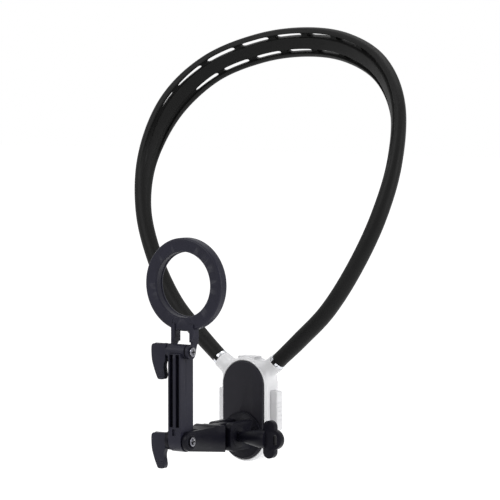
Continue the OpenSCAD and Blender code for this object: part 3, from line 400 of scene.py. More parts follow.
def tube(front, back, name):
    """A closed solid between two outlines of as many points."""
    bm = bmesh.new()
    ends = [[bm.verts.new(p) for p in outline] for outline in (front, back)]
    bm.faces.new(ends[0])
    bm.faces.new(ends[1][::-1])
    n = len(front)
    for i in range(n):
        j = (i + 1) % n
        bm.faces.new((ends[0][i], ends[1][i], ends[1][j], ends[0][j]))
    return mesh_of(bm, name)


def prism(outline, low, high):
    """An (x, z) outline extruded along Y from low to high."""
    return tube([at(x, low, z) for x, z in outline], [at(x, high, z) for x, z in outline], "prism")


def slab(outline, low, high):
    """A (y, z) outline extruded along X from low to high."""
    return tube([at(low, y, z) for y, z in outline], [at(high, y, z) for y, z in outline], "slab")


def block(low, high):
    """A box from its lowest corner to its highest one."""
    outline = [(low[0], low[2]), (high[0], low[2]), (high[0], high[2]), (low[0], high[2])]
    return prism(outline, low[1], high[1])


def rod(start, stop, r, steps=48):
    """A cylinder between two points."""
    start, stop = Vector(start), Vector(stop)
    axis = (stop - start).normalized()
    side = axis.orthogonal().normalized()
    up = axis.cross(side)
    turns = [2 * math.pi * i / steps for i in range(steps)]
    spokes = [(side * math.cos(a) + up * math.sin(a)) * r for a in turns]
    return tube([at(*(start + p)) for p in spokes], [at(*(stop + p)) for p in spokes], "rod")


def boolean(mesh, others, operation="DIFFERENCE"):
    """The mesh less the others, or joined with them."""
    body = bpy.data.objects.new("body", mesh)
    scene.collection.objects.link(body)
    tools = []
    for other in others:
        tool = bpy.data.objects.new("tool", other)
        scene.collection.objects.link(tool)
        tools.append(tool)
        modifier = body.modifiers.new("cut", "BOOLEAN")
        modifier.operation = operation
        modifier.solver = "MANIFOLD"
        modifier.object = tool
    view = bpy.context.evaluated_depsgraph_get()
    result = bpy.data.meshes.new_from_object(body.evaluated_get(view))
    for obj in [body] + tools:
        bpy.data.objects.remove(obj)
    return result


def copy_of(node):
    """A CAD node's mesh in the row frame, welded."""
    source = frame["nodes"][node]
    bm = bmesh.new()
    bm.from_mesh(source.data)
    bm.transform(source.matrix_world)
    bmesh.ops.remove_doubles(bm, verts=bm.verts, dist=WELD_M)
    return mesh_of(bm, node)


def reach_x(node):
    """Least and greatest x of a CAD node."""
    source = frame["nodes"][node]
    xs = [(source.matrix_world @ v.co).x / MM for v in source.data.vertices]
    return min(xs), max(xs)


def mirrored(p, side):
    """A point or direction where side is 1, its mirror image on the other half where side is -1."""
    return Vector((side * p[0], p[1], p[2]))


def curve_point(a, b, c, d, t):
    """The point at share t from b to c of a smooth curve through four points."""
    return (2 * b + (c - a) * t + (2 * a - 5 * b + 4 * c - d) * t * t + (3 * b - a - 3 * c + d) * t ** 3) / 2


def curve_slope(a, b, c, d, t):
    """The curve's direction at the same place."""
    return ((c - a) + 2 * (2 * a - 5 * b + 4 * c - d) * t + 3 * (3 * b - a - 3 * c + d) * t * t) / 2


def ease(x):
    """0 up to 0, 1 from 1 on, and a smooth step between."""
    t = min(max(x, 0.0), 1.0)
    return t * t * (3 - 2 * t)


# The neck band's route, section and slots, along s mm from the nape

# The loop's greatest width, and where the band's ends sit in the sockets
LOOP_W = 212.0
END_X, BAND_Y, LOOP_START = 25.5, 8.1, 70.5
# The straight run out of a socket, and its rise from level
LEAD = 24.5
SOCKET_ANGLE = math.radians(41)
# The nape's inner face looks forward and this far down
NAPE_TILT = math.radians(15)
NAPE_W, NAPE_T = 21.6, 9.6
STRAND_D, END_D = 11.6, 11.0
# The band is flat up to FLAT_RUN from the nape, and fades into the strand over FADE_RUN
FLAT_RUN, FADE_RUN = 95.0, 115.0
SQUARENESS = 0.7
AIM_SHARE = 1.5
TRAIL_STEPS = 1200
BAND_STATIONS = 520
END_ROUND = 0.35
BAND_BEVEL = 0.25

# The route's points: shares of half the loop's width, and of the rise from the band's end to the nape
ROUTE_SHARES = (
    (0.623, 0.013, 0.168), (0.811, 0.054, 0.303), (0.953, 0.142, 0.46), (1.0, 0.311, 0.626),
    (0.92, 0.547, 0.791), (0.693, 0.763, 0.913), (0.358, 0.932, 0.98),
)
inward = np.array([0.0, -math.cos(NAPE_TILT), -math.sin(NAPE_TILT)])
nape_face = np.array([0.0, -CHEST.y, -CHEST.z])
nape = nape_face - inward * NAPE_T / 2
band_end = np.array([END_X, BAND_Y, LOOP_START])
socket_dir = np.array([math.cos(SOCKET_ANGLE), 0.0, math.sin(SOCKET_ANGLE)])
rise = nape - band_end
# The band's inner face looks at this point in front of the nape
aim = nape + inward * AIM_SHARE * nape_face[1]
half = [band_end, band_end + socket_dir * LEAD]
for a, b, c in ROUTE_SHARES:
    half.append(np.array([a * LOOP_W / 2, BAND_Y + b * rise[1], LOOP_START + c * rise[2]]))
route = [p * [-1, 1, 1] for p in half] + [nape] + half[::-1]
route = [2 * route[0] - route[1]] + route + [2 * route[-1] - route[-2]]
LAST = len(route) - 3


def route_part(u):
    """The four points round place u of the route, and how far u is from the second to the third."""
    i = min(int(u), LAST - 1)
    return (*route[i:i + 4], u - i)


trail_u = np.linspace(0, LAST, TRAIL_STEPS + 1)
trail = np.array([curve_point(*route_part(u)) for u in trail_u])
trail_s = np.concatenate([[0], np.cumsum(np.linalg.norm(np.diff(trail, axis=0), axis=1))])
HALF = trail_s[-1] / 2


def station(s):
    """Point, inner face's direction and width direction of the band at s."""
    u = float(np.interp(s + HALF, trail_s, trail_u))
    along = curve_slope(*route_part(u))
    along /= np.linalg.norm(along)
    point = curve_point(*route_part(u))
    face = aim - point
    face -= along * (face @ along)
    face /= np.linalg.norm(face)
    return point, face, np.cross(face, along)


def flatness(s):
    """1 where the band is flat, 0 where it is a round strand."""
    return 1 - ease((abs(s) - FLAT_RUN) / FADE_RUN)


def round_d(s):
    """The strand's diameter, which shrinks to END_D over the lead into the socket."""
    return STRAND_D + (END_D - STRAND_D) * ease((abs(s) - HALF + LEAD) / LEAD)


def half_width(s):
    return (round_d(s) + (NAPE_W - STRAND_D) * flatness(s)) / 2


def half_thick(s):
    return (round_d(s) + (NAPE_T - STRAND_D) * flatness(s)) / 2


# Two grooves run along the inner face, with the slots in their floors
GROOVE_DEPTH, GROOVE_FLOOR, GROOVE_WALL, LEAST_GROOVE = 2.4, 1.25, 0.55, 0.01
SOLID_PITCH = 29.0
GROOVE_REACH, GROOVE_FADE = SOLID_PITCH * 4.6, SOLID_PITCH * 1.5
# Where the grooves' and slots' centre lines lie, as a share of the half width
ROW_SHARE = 0.535
# Angles round the section: close together at the groove's walls, even on the outer face
QUARTER_ANGLES = [
    0, 9, 18, 26, 33, 39, 44, 48, 51, 53, 54.5, 56, 58, 61, 64.5, 68, 70.5, 72, 73.5, 75, 77, 80, 84, 90,
]
OUTER_STEP = 7.5
INNER_ANGLES = QUARTER_ANGLES + [180 - a for a in QUARTER_ANGLES[-2::-1]]
ANGLES = INNER_ANGLES + [float(a) for a in np.arange(180 + OUTER_STEP, 360, OUTER_STEP)]


def groove_depth(s):
    return GROOVE_DEPTH * (1 - ease((abs(s) - GROOVE_REACH) / GROOVE_FADE))


def groove_share(b, w):
    """How far the groove's floor is reached at width b: 1 on the floor, 0 outside its soft walls."""
    off = abs(abs(b) - ROW_SHARE * w)
    return 1 - ease((off - GROOVE_FLOOR) / GROOVE_WALL)


def section(s, shrink=0.0):
    """The band's outline at s, as points of the row frame."""
    point, face, wide = station(s)
    w, t = half_width(s) - shrink, half_thick(s) - shrink
    power = 2 + SQUARENESS * flatness(s)
    depth = groove_depth(s)
    ring = []
    for a in ANGLES:
        c, d = math.cos(math.radians(a)), math.sin(math.radians(a))
        b = w * math.copysign(abs(c) ** (2 / power), c)
        n = t * math.copysign(abs(d) ** (2 / power), d)
        if 0 < a < 180 and depth > LEAST_GROOVE:
            n -= depth * groove_share(b, w)
        ring.append(at(*(point + wide * b + face * n)))
    return ring


# A slot's width, the rib between two, their pitch, and the length of a pointed end
SLOT_W, RIB, SLOT_STEP, SLOT_END = 2.6, 5.0, 26.8, 3.0
# Side of the band, centre and count of each row of slots
SLOT_ROWS = ((1, -1.0, 8), (-1, -7.1, 7))
NARROWING, NARROW_FROM, NARROW_RUN = 0.6, 70.0, 50.0
POINT_STEPS, POINT_SHARE = 8, 0.04
CUTTER_STEP, LEAST_STEPS = 2.5, 3
CORNERS = ((1, 1), (-1, 1), (-1, -1), (1, -1))


def slot_share(s):
    """Share of the full width: the slots get narrower away from the nape."""
    return 1 - NARROWING * ease((abs(s) - NARROW_FROM) / NARROW_RUN)


def slot_cutter(start, stop, side):
    """A slot with pointed round ends through the band, from start to stop along it."""
    stations = []
    for i in range(POINT_STEPS + 1):
        a = math.pi / 2 * i / POINT_STEPS
        stations.append((start + SLOT_END * (1 - math.cos(a)), max(math.sin(a), POINT_SHARE)))
    count = max(int((stop - start) / CUTTER_STEP), LEAST_STEPS)
    for i in range(1, count):
        stations.append((start + SLOT_END + (stop - start - 2 * SLOT_END) * i / count, 1.0))
    stations += [(stop + start - s, w) for s, w in stations[POINT_STEPS::-1]]
    rings = []
    for s, w in stations:
        point, face, wide = station(s)
        b = side * ROW_SHARE * half_width(s)
        r = SLOT_W / 2 * w * slot_share(s)
        rings.append([at(*(point + wide * (b + p * r) + face * q * NAPE_T)) for p, q in CORNERS])
    return sweep("cutter", rings)


def slot_runs():
    """Start, stop and side of every slot: the rows, then a short slot at each end of the upper row."""
    for side, centre, count in SLOT_ROWS:
        for i in range(count):
            start = centre + (i - count / 2) * SLOT_STEP + RIB / 2
            yield start, start + SLOT_STEP - RIB, side
    side, centre, count = SLOT_ROWS[0]
    reach = count / 2 * SLOT_STEP + RIB / 2
    yield centre - reach - SLOT_STEP / 2, centre - reach, side
    yield centre + reach, centre + reach + SLOT_STEP / 2, side


def neck_band():
    """The silicone sleeve as one sweep with soft end rims, cut by its slots."""
    stations = list(np.linspace(-HALF, HALF, BAND_STATIONS))
    between = [-HALF + END_ROUND] + stations[1:-1] + [HALF - END_ROUND]
    rings = [section(stations[0], END_ROUND)] + [section(s) for s in between]
    rings.append(section(stations[-1], END_ROUND))
    mesh = boolean(sweep("band", rings), [slot_cutter(*run) for run in slot_runs()])
    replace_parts(new_object("neck_band", mesh, "silicone", "base", BAND_BEVEL), "neck_sleeve")


neck_band()

# The chest base's shell

# The plate is a stadium of radius PLATE_R whose straight sides are PLATE_RUN long, in a base round it
PLATE_R, PLATE_RUN = 17.2, 35.1
BASE_R, BASE_FRONT, BASE_BACK = 19.4, 1.6, 16.5
MIDDLE_Y = (BASE_FRONT + BASE_BACK) / 2
FRONT_ROUND, BACK_ROUND, FRONT_EDGE = 3.0, 1.0, 0.6
GAP = 0.2
RIM_R, RIM_FILLET = 0.5, 0.4
# The arm's axis starts here inside the base, and its radius is ARM_TAPER less at the mouth
ARM_ROOT = np.array([9.0, BAND_Y + 0.3, 58.5])
ARM_R, ARM_TAPER, ARM_FILLET = 6.7, 0.5, 5.0
FERRULE_L, PLUG_R, PLUG_L = 2.6, 3.55, 14.6
# The tab between the arms: half its width and thickness, its middle's height and half its own
TAB_X, TAB_Y, TAB_Z, TAB_H, TAB_ROUND, TAB_FILLET = 7.0, 4.2, 66.0, 6.3, 0.2, 0.8
# The recess that the plate lies in, the cavity behind its floor, and the back cover's seat
FLOOR_Y = 4.2
CAVITY_R, CAVITY_Y = 17.4, 6.2
COVER_R, COVER_Y = 18.2, 14.5
# The buttons: middle and height along Z, front and depth along Y
BUTTON_Z, BUTTON_H, BUTTON_Y, BUTTON_D = 34.75, 28.0, 6.4, 7.0
# How far a cut runs past the wall that it opens
PAST_WALL = 0.5


def smooth_least(a, b, k):
    """The lesser of two distances, with a fillet of about k where they meet."""
    h = np.clip(0.5 + 0.5 * (b - a) / k, 0, 1)
    return b + (a - b) * h - k * h * (1 - h)


def body_distance(flat, y):
    """Distance to the base's body: a wide round at the front edge and a small one at the back."""
    deep = np.abs(y - MIDDLE_Y) - (BASE_BACK - BASE_FRONT) / 2
    r = np.where(y < MIDDLE_Y, FRONT_ROUND, BACK_ROUND)
    a, b = flat + r, deep + r
    return np.hypot(np.maximum(a, 0), np.maximum(b, 0)) + np.minimum(np.maximum(a, b), 0) - r


def arm_distance(p):
    """Distance to the tapered arm that holds the band's end, and to the plane of its mouth."""
    tip = band_end - socket_dir * FERRULE_L
    axis = tip - ARM_ROOT
    t = np.clip(((p - ARM_ROOT) @ axis) / (axis @ axis), 0, 1)
    arm = np.linalg.norm(p - ARM_ROOT - t[..., None] * axis, axis=-1) - (ARM_R - ARM_TAPER * t)
    mouth = (p - tip) @ socket_dir
    return np.maximum(arm, mouth), mouth


def base_distance(p):
    """Signed distance to the base's outer skin for points p: the same on both sides."""
    x, y, z = np.abs(p[..., 0]), p[..., 1], p[..., 2]
    run = np.clip(z, PLATE_R, PLATE_R + PLATE_RUN)
    flat = np.hypot(x, z - run) - BASE_R
    arm, mouth = arm_distance(np.stack([x, y, z], -1))
    shape = np.maximum(smooth_least(body_distance(flat, y), arm, ARM_FILLET), mouth)
    # The front is cut flat, and only the rim round the plate stands out from it
    shape = -smooth_least(-shape, y - BASE_FRONT, FRONT_EDGE)
    rim = np.hypot(np.abs(flat + BASE_R - PLATE_R - GAP - RIM_R), y - BASE_FRONT) - RIM_R
    shape = smooth_least(shape, rim, RIM_FILLET)
    tab = np.maximum(np.maximum(x - TAB_X, np.abs(y - MIDDLE_Y) - TAB_Y), np.abs(z - TAB_Z) - TAB_H)
    return smooth_least(shape, tab - TAB_ROUND, TAB_FILLET)


# Pairs of a cell's eight corners that share an edge: bit k of a corner's number is its side on axis k
EDGE_ENDS = [(a, a | 1 << k) for a in range(8) for k in range(3) if not a & 1 << k]
SETTLE_PASSES, PROBE, LEAST_SLOPE = 4, 0.01, 0.25


def crossing_points(distance, value, low, step):
    """A point on the surface in each cell that it crosses, and the points' numbers by cell."""
    shape = np.array(value.shape) - 1
    corner = []
    for a in range(8):
        o = [(a >> k) & 1 for k in range(3)]
        corner.append(value[o[0]:o[0] + shape[0], o[1]:o[1] + shape[1], o[2]:o[2] + shape[2]])
    inside = np.stack(corner) < 0
    mixed = inside.any(0) & ~inside.all(0)
    cells = np.argwhere(mixed)
    number = -np.ones(shape, int)
    number[mixed] = np.arange(len(cells))
    total, count = np.zeros((len(cells), 3)), np.zeros(len(cells))
    for a, b in EDGE_ENDS:
        va, vb = corner[a][mixed], corner[b][mixed]
        cross = (va < 0) != (vb < 0)
        t = np.where(cross, va / np.where(cross, va - vb, 1), 0)
        pa = np.array([(a >> k) & 1 for k in range(3)], float)
        pb = np.array([(b >> k) & 1 for k in range(3)], float)
        total += cross[:, None] * (pa + t[:, None] * (pb - pa))
        count += cross
    spots = np.array(low) + (cells + total / count[:, None]) * step
    for _ in range(SETTLE_PASSES):
        f = distance(spots)
        probes = np.eye(3) * PROBE
        slope = np.stack([distance(spots + d) - distance(spots - d) for d in probes], -1) / (2 * PROBE)
        spots -= slope * (f / np.maximum((slope ** 2).sum(-1), LEAST_SLOPE))[:, None]
    return spots, number


def skin_of(distance, low, high, step):
    """A closed quad mesh of the surface where distance is zero: a quad round each crossed grid edge."""
    axes = [np.arange(low[k], high[k] + step, step) for k in range(3)]
    value = distance(np.stack(np.meshgrid(*axes, indexing="ij"), -1))
    spots, number = crossing_points(distance, value, low, step)
    faces = []
    for k in range(3):
        u, v = (k + 1) % 3, (k + 2) % 3
        a = value[tuple(slice(0, -1) if m == k else slice(1, -1) for m in range(3))]
        b = value[tuple(slice(1, None) if m == k else slice(1, -1) for m in range(3))]
        for sign in (True, False):
            hit = np.argwhere(((a < 0) != (b < 0)) & ((a < 0) == sign))
            base = hit + np.array([0 if m == k else 1 for m in range(3)])
            quad = []
            for du, dv in ((-1, -1), (0, -1), (0, 0), (-1, 0)):
                c = base.copy()
                c[:, u] += du
                c[:, v] += dv
                quad.append(number[c[:, 0], c[:, 1], c[:, 2]])
            quad = np.stack(quad, -1)
            faces += [tuple(map(int, f)) for f in (quad if sign else quad[:, ::-1])]
    mesh = bpy.data.meshes.new("skin")
    mesh.from_pydata([at(*p) for p in spots], [], faces)
    return mesh


STADIUM_STEPS = 40
SKIN_LOW, SKIN_HIGH, SKIN_STEP = (-34, 0, -6), (34, 18, 80), 0.6
# The windows for the latch: from and to x, and half their height
HOOK_X, HOOK_H = (6.9, 11.5), 4.3
SCREW_X, SCREW_ZS, SCREW_R, SCREW_L, SCREW_STEPS = 11.35, (8.33, 61.17), 1.05, 8, 24


def stadium(r):
    """Outline of the plate's stadium at radius r."""
    outline = []
    for i in range(2 * STADIUM_STEPS + 2):
        turn, top = (i, PLATE_R + PLATE_RUN) if i <= STADIUM_STEPS else (i - 1, PLATE_R)
        a = math.pi * turn / STADIUM_STEPS
        outline.append((r * math.cos(a), top + r * math.sin(a)))
    return outline


def side_cutters(side):
    """One side's plug bore, hook window, button opening and screw bores."""
    tip, run = mirrored(band_end, side), mirrored(socket_dir, side)
    yield rod(tip - run * PLUG_L, tip + run, PLUG_R)
    x0, x1 = sorted(side * x for x in HOOK_X)
    yield block((x0, FLOOR_Y - PAST_WALL, BUTTON_Z - HOOK_H), (x1, CAVITY_Y + PAST_WALL, BUTTON_Z + HOOK_H))
    x0, x1 = sorted((side * (CAVITY_R - OVERRUN), side * (BASE_R + 3 * OVERRUN)))
    yield block((x0, BUTTON_Y - GAP, BUTTON_Z - BUTTON_H / 2 - GAP),
                (x1, BUTTON_Y + BUTTON_D + GAP, BUTTON_Z + BUTTON_H / 2 + GAP))
    for z in SCREW_ZS:
        x = side * SCREW_X
        yield rod((x, COVER_Y - SCREW_L, z), (x, COVER_Y + PAST_WALL, z), SCREW_R, SCREW_STEPS)


def base_shell():
    """The base's front shell with its socket arms, hollow, and open where plate, cover and buttons go."""
    hollow = prism(stadium(CAVITY_R), CAVITY_Y, COVER_Y + PAST_WALL)
    cutters = [
        prism(stadium(PLATE_R + GAP), BASE_FRONT - 2 * OVERRUN, FLOOR_Y),
        prism(stadium(COVER_R), COVER_Y, BASE_BACK + OVERRUN),
        *side_cutters(-1),
        *side_cutters(1),
    ]
    skin = skin_of(base_distance, SKIN_LOW, SKIN_HIGH, SKIN_STEP)
    mesh = boolean(boolean(skin, [hollow]), cutters)
    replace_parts(new_object("base_shell", mesh, "base_white", "base"), "base_front_shell")


base_shell()

# The clamp levers

# The two hinges' axes, which lie along X
HINGE_Y = -73.5
UPPER_Z, LOWER_Z = 82.5, 21.0
EDGE_SEGMENTS = 3
HUB_R, HUB_L = 4.9, 11.3
# How far in front of the axis the grip's two faces lie
GRIP_FRONT, GRIP_BACK, GRIP_BEVEL = 4.95, 0.9, 0.35
# The lowest ridge is RIDGE_LOW below the axis, and each further one is RIDGE_LONGER longer
RIDGES, RIDGE_STEP, RIDGE_R, RIDGE_FRONT = 4, 1.45, 0.45, 4.8
RIDGE_LOW, RIDGE_FAR, RIDGE_NEAR, RIDGE_LONGER = 18.4, 6.2, 1.7, 0.55
LEVER_BORE_R, LEVER_BORE_L = 2.05, 8.6
POCKET_R, POCKET_L = 3.8, 4
CURVE_STEPS, RIDGE_STEPS, BORE_STEPS = 5, 16, 32
# The grip's outline as (x, z), from the hub's inner end on its axis
LEVER = [
    (0, 4.9), (-5, 4.95), (-9.4, 4.9), (-11.1, 4.1), (-11.7, 2.2), (-11.7, -2.0), (-11.1, -7.1),
    (-9.2, -13.0), (-7.1, -17.8), (-6.3, -19.2), (-5.2, -19.6), (-2.4, -19.6), (-1.3, -19.1),
    (-0.7, -17.8), (-0.5, -16.4), (-0.9, -13.6), (-1.3, -11.0), (-1.0, -8.5), (-0.2, -6.2), (0, -4.6), (0, 0),
]


def rounded(outline):
    """A smooth closed outline through the points."""
    n = len(outline)
    smooth = []
    for i in range(n):
        near = [np.array(outline[(i + k) % n], float) for k in (-1, 0, 1, 2)]
        for k in range(CURVE_STEPS):
            p = curve_point(*near, k / CURVE_STEPS)
            smooth.append((float(p[0]), float(p[1])))
    return smooth


def lever(node, body, z):
    """A flat grip flush with the front of its hub, with ridges near its end, and a bore for screw and nut."""
    x = reach_x(node)[1]
    outline = [(x + a, z + b) for a, b in rounded(LEVER)]
    grip = prism(outline, HINGE_Y - GRIP_FRONT, HINGE_Y - GRIP_BACK)
    parts = [rod((x - HUB_L, HINGE_Y, z), (x, HINGE_Y, z), HUB_R, ROUND_STEPS)]
    for k in range(RIDGES):
        y, low = HINGE_Y - RIDGE_FRONT, z - RIDGE_LOW + RIDGE_STEP * k
        far, near = x - RIDGE_FAR - RIDGE_LONGER * k, x - RIDGE_NEAR
        parts.append(rod((far, y, low), (near, y, low), RIDGE_R, RIDGE_STEPS))
    solid = boolean(grip, parts, "UNION")
    end = (x + OVERRUN, HINGE_Y, z)
    bore = rod((x - LEVER_BORE_L, HINGE_Y, z), end, LEVER_BORE_R, BORE_STEPS)
    pocket = rod((x - POCKET_L, HINGE_Y, z), end, POCKET_R, BORE_STEPS)
    mesh = boolean(boolean(solid, [bore]), [pocket])
    piece = new_object(node + "_grip", mesh, "charcoal", body, GRIP_BEVEL, EDGE_SEGMENTS)
    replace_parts(piece, node)


lever("upper_lever", "upper_clamp_lever", UPPER_Z)
lever("lower_lever", "lower_clamp_lever", LOWER_Z)

# The upper arm, with its knuckle and flutes

ARM_X, ARM_FRONT, ARM_BEVEL = 5.2, 7.4, 0.35
ARM_HEAD_L = 6
KNUCKLE_X, KNUCKLE_R, KNUCKLE_OUT = 6.6, 5.0, 1.2
PIN_R, PIN_GAP = 2.0, 0.1
PIN_BORE_X = 9
# The flutes: middle and width, floor in front of the axis, and their ends from the hinges
FLUTE_X, FLUTE_W, FLUTE_FLOOR = 2.6, 2.8, 2.4
FLUTE_LOW, FLUTE_TOP = 9.8, 1.7


def upper_beam():
    """The solid's arm with a rounder head and longer flutes."""
    knuckle_y, front = HINGE_Y - KNUCKLE_OUT, HINGE_Y - ARM_FRONT
    head = [
        rod((-KNUCKLE_X, knuckle_y, UPPER_Z), (KNUCKLE_X, knuckle_y, UPPER_Z), KNUCKLE_R, ROUND_STEPS),
        block((-ARM_X, front, UPPER_Z - ARM_HEAD_L), (ARM_X, HINGE_Y, UPPER_Z - KNUCKLE_OUT)),
    ]
    cuts = [rod((-PIN_BORE_X, HINGE_Y, UPPER_Z), (PIN_BORE_X, HINGE_Y, UPPER_Z), PIN_R + PIN_GAP)]
    for x in (-FLUTE_X, FLUTE_X):
        cuts.append(block((x - FLUTE_W / 2, front - OVERRUN, LOWER_Z + FLUTE_LOW),
                          (x + FLUTE_W / 2, HINGE_Y - FLUTE_FLOOR, UPPER_Z - FLUTE_TOP)))
    mesh = boolean(boolean(copy_of("upper_arm"), head, "UNION"), cuts)
    beam = new_object("upper_beam", mesh, "charcoal", "upper_arm", ARM_BEVEL, EDGE_SEGMENTS)
    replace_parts(beam, "upper_arm")


upper_beam()

# The ring with its fork, whose straight legs replace the slanting ones of the solid

FORK_OUT, FORK_IN, LEG_IN, RING_BEVEL = 9.3, 7.3, 6.2, 0.3
LEG_FRONT, LEG_HEEL, LEG_BACK = 1.6, 4.6, 8.4
LEG_LOW, LEG_STEP, LEG_TOP = 2.0, 6.3, 18.5
# The slant that is cut away in front of the legs, over the eyes
EYE_FRONT, EYE_TOP, SLANT_TOP = 6, 4.9, 12
# Outlines as (y, z) from the hinge's axis: a leg beside the washers, and its thicker part above them
ABOVE = [(LEG_BACK, LEG_STEP), (LEG_BACK, LEG_TOP), (LEG_FRONT, LEG_TOP)]
LEG = [(LEG_FRONT, LEG_LOW), (LEG_HEEL, LEG_LOW)] + ABOVE
LEG_INSIDE = [(LEG_FRONT, LEG_STEP)] + ABOVE


def ring_and_fork():
    """The solid's ring, less the slant of its fork at the front, with the straight legs."""
    slant = block((-FORK_OUT - OVERRUN, HINGE_Y - EYE_FRONT, UPPER_Z + EYE_TOP),
                  (FORK_OUT + OVERRUN, HINGE_Y + LEG_FRONT, UPPER_Z + SLANT_TOP))
    legs = []
    for side in (-1, 1):
        for outline, inner_x in ((LEG, FORK_IN), (LEG_INSIDE, LEG_IN)):
            placed = [(HINGE_Y + y, UPPER_Z + z) for y, z in outline]
            legs.append(slab(placed, *sorted((side * inner_x, side * FORK_OUT))))
    mesh = boolean(boolean(copy_of("ring_frame"), [slant]), legs, "UNION")
    ring = new_object("ring_and_fork", mesh, "charcoal", "ring", RING_BEVEL, EDGE_SEGMENTS)
    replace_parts(ring, "ring_frame")


ring_and_fork()

# The hinge screws and the buttons' coil springs

HEAD_R, HEAD_H, HEAD_SUNK, HEAD_BEVEL = 3.2, 1.6, 0.2, 0.3
RECESS_R, RECESS_W, RECESS_D = 2.1, 0.9, 0.9
# The recess's faces are told by their place: within this slack of it, and this far below the top
SLACK, BELOW_TOP = 0.1, 0.01


def hinge_screw(node, body, z):
    """A pin with a pan head on +X, whose cross recess is painted dark inside as shade."""
    tail, tip = reach_x(node)
    neck = tip - HEAD_H
    pin = rod((tail, HINGE_Y, z), (neck + HEAD_SUNK, HINGE_Y, z), PIN_R, BORE_STEPS)
    solid = boolean(pin, [rod((neck, HINGE_Y, z), (tip, HINGE_Y, z), HEAD_R, ROUND_STEPS)], "UNION")
    low, high = tip - RECESS_D, tip + OVERRUN
    cross = [
        block((low, HINGE_Y - RECESS_R, z - RECESS_W / 2), (high, HINGE_Y + RECESS_R, z + RECESS_W / 2)),
        block((low, HINGE_Y - RECESS_W / 2, z - RECESS_R), (high, HINGE_Y + RECESS_W / 2, z + RECESS_R)),
    ]
    mesh = boolean(solid, cross)
    piece = new_object(node + "_pin", mesh, "bright_steel", body, HEAD_BEVEL, EDGE_SEGMENTS)
    mesh.materials.clear()
    mesh.materials.append(screw_steel)
    mesh.materials.append(black_nylon_and_painted_recess_shade)
    centre = at(tip, HINGE_Y, z)
    # Faces inside the cross recess take the black material: painted shade
    for face in mesh.polygons:
        out = face.center - centre
        in_depth = -RECESS_D * (1 + SLACK) * MM < out.x < -BELOW_TOP * MM
        if in_depth and out.yz.length < (RECESS_R + SLACK) * MM:
            face.material_index = 1
    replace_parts(piece, node)


def button_coils(side):
    """A copy of a button's coil springs, put in place of the solid's."""
    node = "button_springs_" + side
    seat, flange = sorted(reach_x(node), key=abs)
    coils = new_object("coils_" + side, copy_of(node), "spring_steel")
    y, z = BUTTON_Y + BUTTON_D / 2, BUTTON_Z
    at(seat, y, z)
    at(flange, y, z)
    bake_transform(coils)
    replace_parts(coils, node)


hinge_screw("upper_hinge_screw", "ring", UPPER_Z)
hinge_screw("lower_hinge_screw", "arm", LOWER_Z)
button_coils("left")
button_coils("right")

# Stage, lights and camera

FLOOR_M, FLOOR_Z_M = 24.0, -0.62
FLOOR_VALUE, FLOOR_LIFT = 0.92, 0.65
WORLD_LIGHT, WORLD_SEEN = 0.5, 1.0
# The photograph is PHOTO_PX wide, and its lens was found as a focal length in its pixels
FOCAL_PX, PHOTO_PX, SENSOR = 2982.0, 500.0, 36.0
CAMERA_AT, CAMERA_AIM = (1201.4, -1706.5, 293.6), (-0.21, 9.51, 147.10)
CLIP_END_M = 50.0
WHITE = (1.0, 1.0, 1.0, 1.0)


def seen_directly(tree):
    """1 for camera, glossy and transmission rays, else 0."""
    path = tree.nodes.new("ShaderNodeLightPath")
    total = path.outputs["Is Camera Ray"]
    for name in ("Is Glossy Ray", "Is Transmission Ray"):
        add = tree.nodes.new("ShaderNodeMath")
        add.operation = "ADD"
        add.use_clamp = True
        tree.links.new(total, add.inputs[0])
        tree.links.new(path.outputs[name], add.inputs[1])
        total = add.outputs[0]
    return total


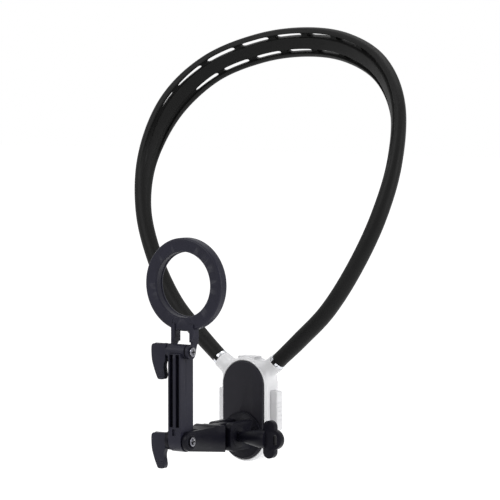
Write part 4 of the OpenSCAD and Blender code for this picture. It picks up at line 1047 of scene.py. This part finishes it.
def lay_floor():
    """A pale floor that keeps shadows and is lifted to white where it is seen."""
    n = Nodes("floor")
    n.set_shader(Base_Color=grey(FLOOR_VALUE), Roughness=0.9, Specular_IOR_Level=0.0, Emission_Color=WHITE)
    n.link(n.maths("MULTIPLY", seen_directly(n.tree), FLOOR_LIFT), n.shader.inputs["Emission Strength"])
    h = FLOOR_M / 2
    mesh = bpy.data.meshes.new("floor")
    mesh.from_pydata([(-h, -h, 0), (h, -h, 0), (h, h, 0), (-h, h, 0)], [], [(0, 1, 2, 3)])
    mesh.materials.append(n.material)
    obj = bpy.data.objects.new("floor", mesh)
    obj.location = (0.0, 0.0, FLOOR_Z_M)
    scene.collection.objects.link(obj)


def studio_world():
    """An even world that is white where it is seen and a plain level of light elsewhere."""
    world = bpy.data.worlds.new("studio")
    scene.world = world
    world.use_nodes = True
    tree = world.node_tree
    tree.nodes.clear()
    output = tree.nodes.new("ShaderNodeOutputWorld")
    background = tree.nodes.new("ShaderNodeBackground")
    background.inputs["Color"].default_value = WHITE
    level = tree.nodes.new("ShaderNodeMapRange")
    level.inputs["To Min"].default_value = WORLD_LIGHT
    level.inputs["To Max"].default_value = WORLD_SEEN
    tree.links.new(seen_directly(tree), level.inputs["Value"])
    tree.links.new(level.outputs[0], background.inputs["Strength"])
    tree.links.new(background.outputs[0], output.inputs["Surface"])


def turn_to(obj, place, target):
    """Puts a light or camera at a place of the chest frame and turns it to look at another."""
    start, stop = at(*place), at(*target)
    obj.location = start
    obj.rotation_euler = (stop - start).to_track_quat("-Z", "Y").to_euler()


def area_light(name, place, target, size_m, power):
    light = bpy.data.lights.new(name, "AREA")
    light.shape = "RECTANGLE"
    light.size, light.size_y = size_m
    light.energy = power
    obj = bpy.data.objects.new(name, light)
    scene.collection.objects.link(obj)
    turn_to(obj, place, target)


lay_floor()
studio_world()
area_light("key", (-500, -1300, 1100), (0, 0, 150), size_m=(0.9, 0.9), power=16)
area_light("side", (1500, 100, 450), (0, 0, 120), size_m=(0.5, 1.2), power=15)
area_light("top", (0, 300, 1500), (0, 0, 150), size_m=(1.2, 0.8), power=10)

camera_data = bpy.data.cameras.new("camera")
camera_data.sensor_width = SENSOR
camera_data.lens = FOCAL_PX / PHOTO_PX * SENSOR
camera_data.clip_end = CLIP_END_M
camera = bpy.data.objects.new("camera", camera_data)
scene.collection.objects.link(camera)
turn_to(camera, CAMERA_AT, CAMERA_AIM)
scene.camera = camera
scene.view_settings.view_transform = "Standard"
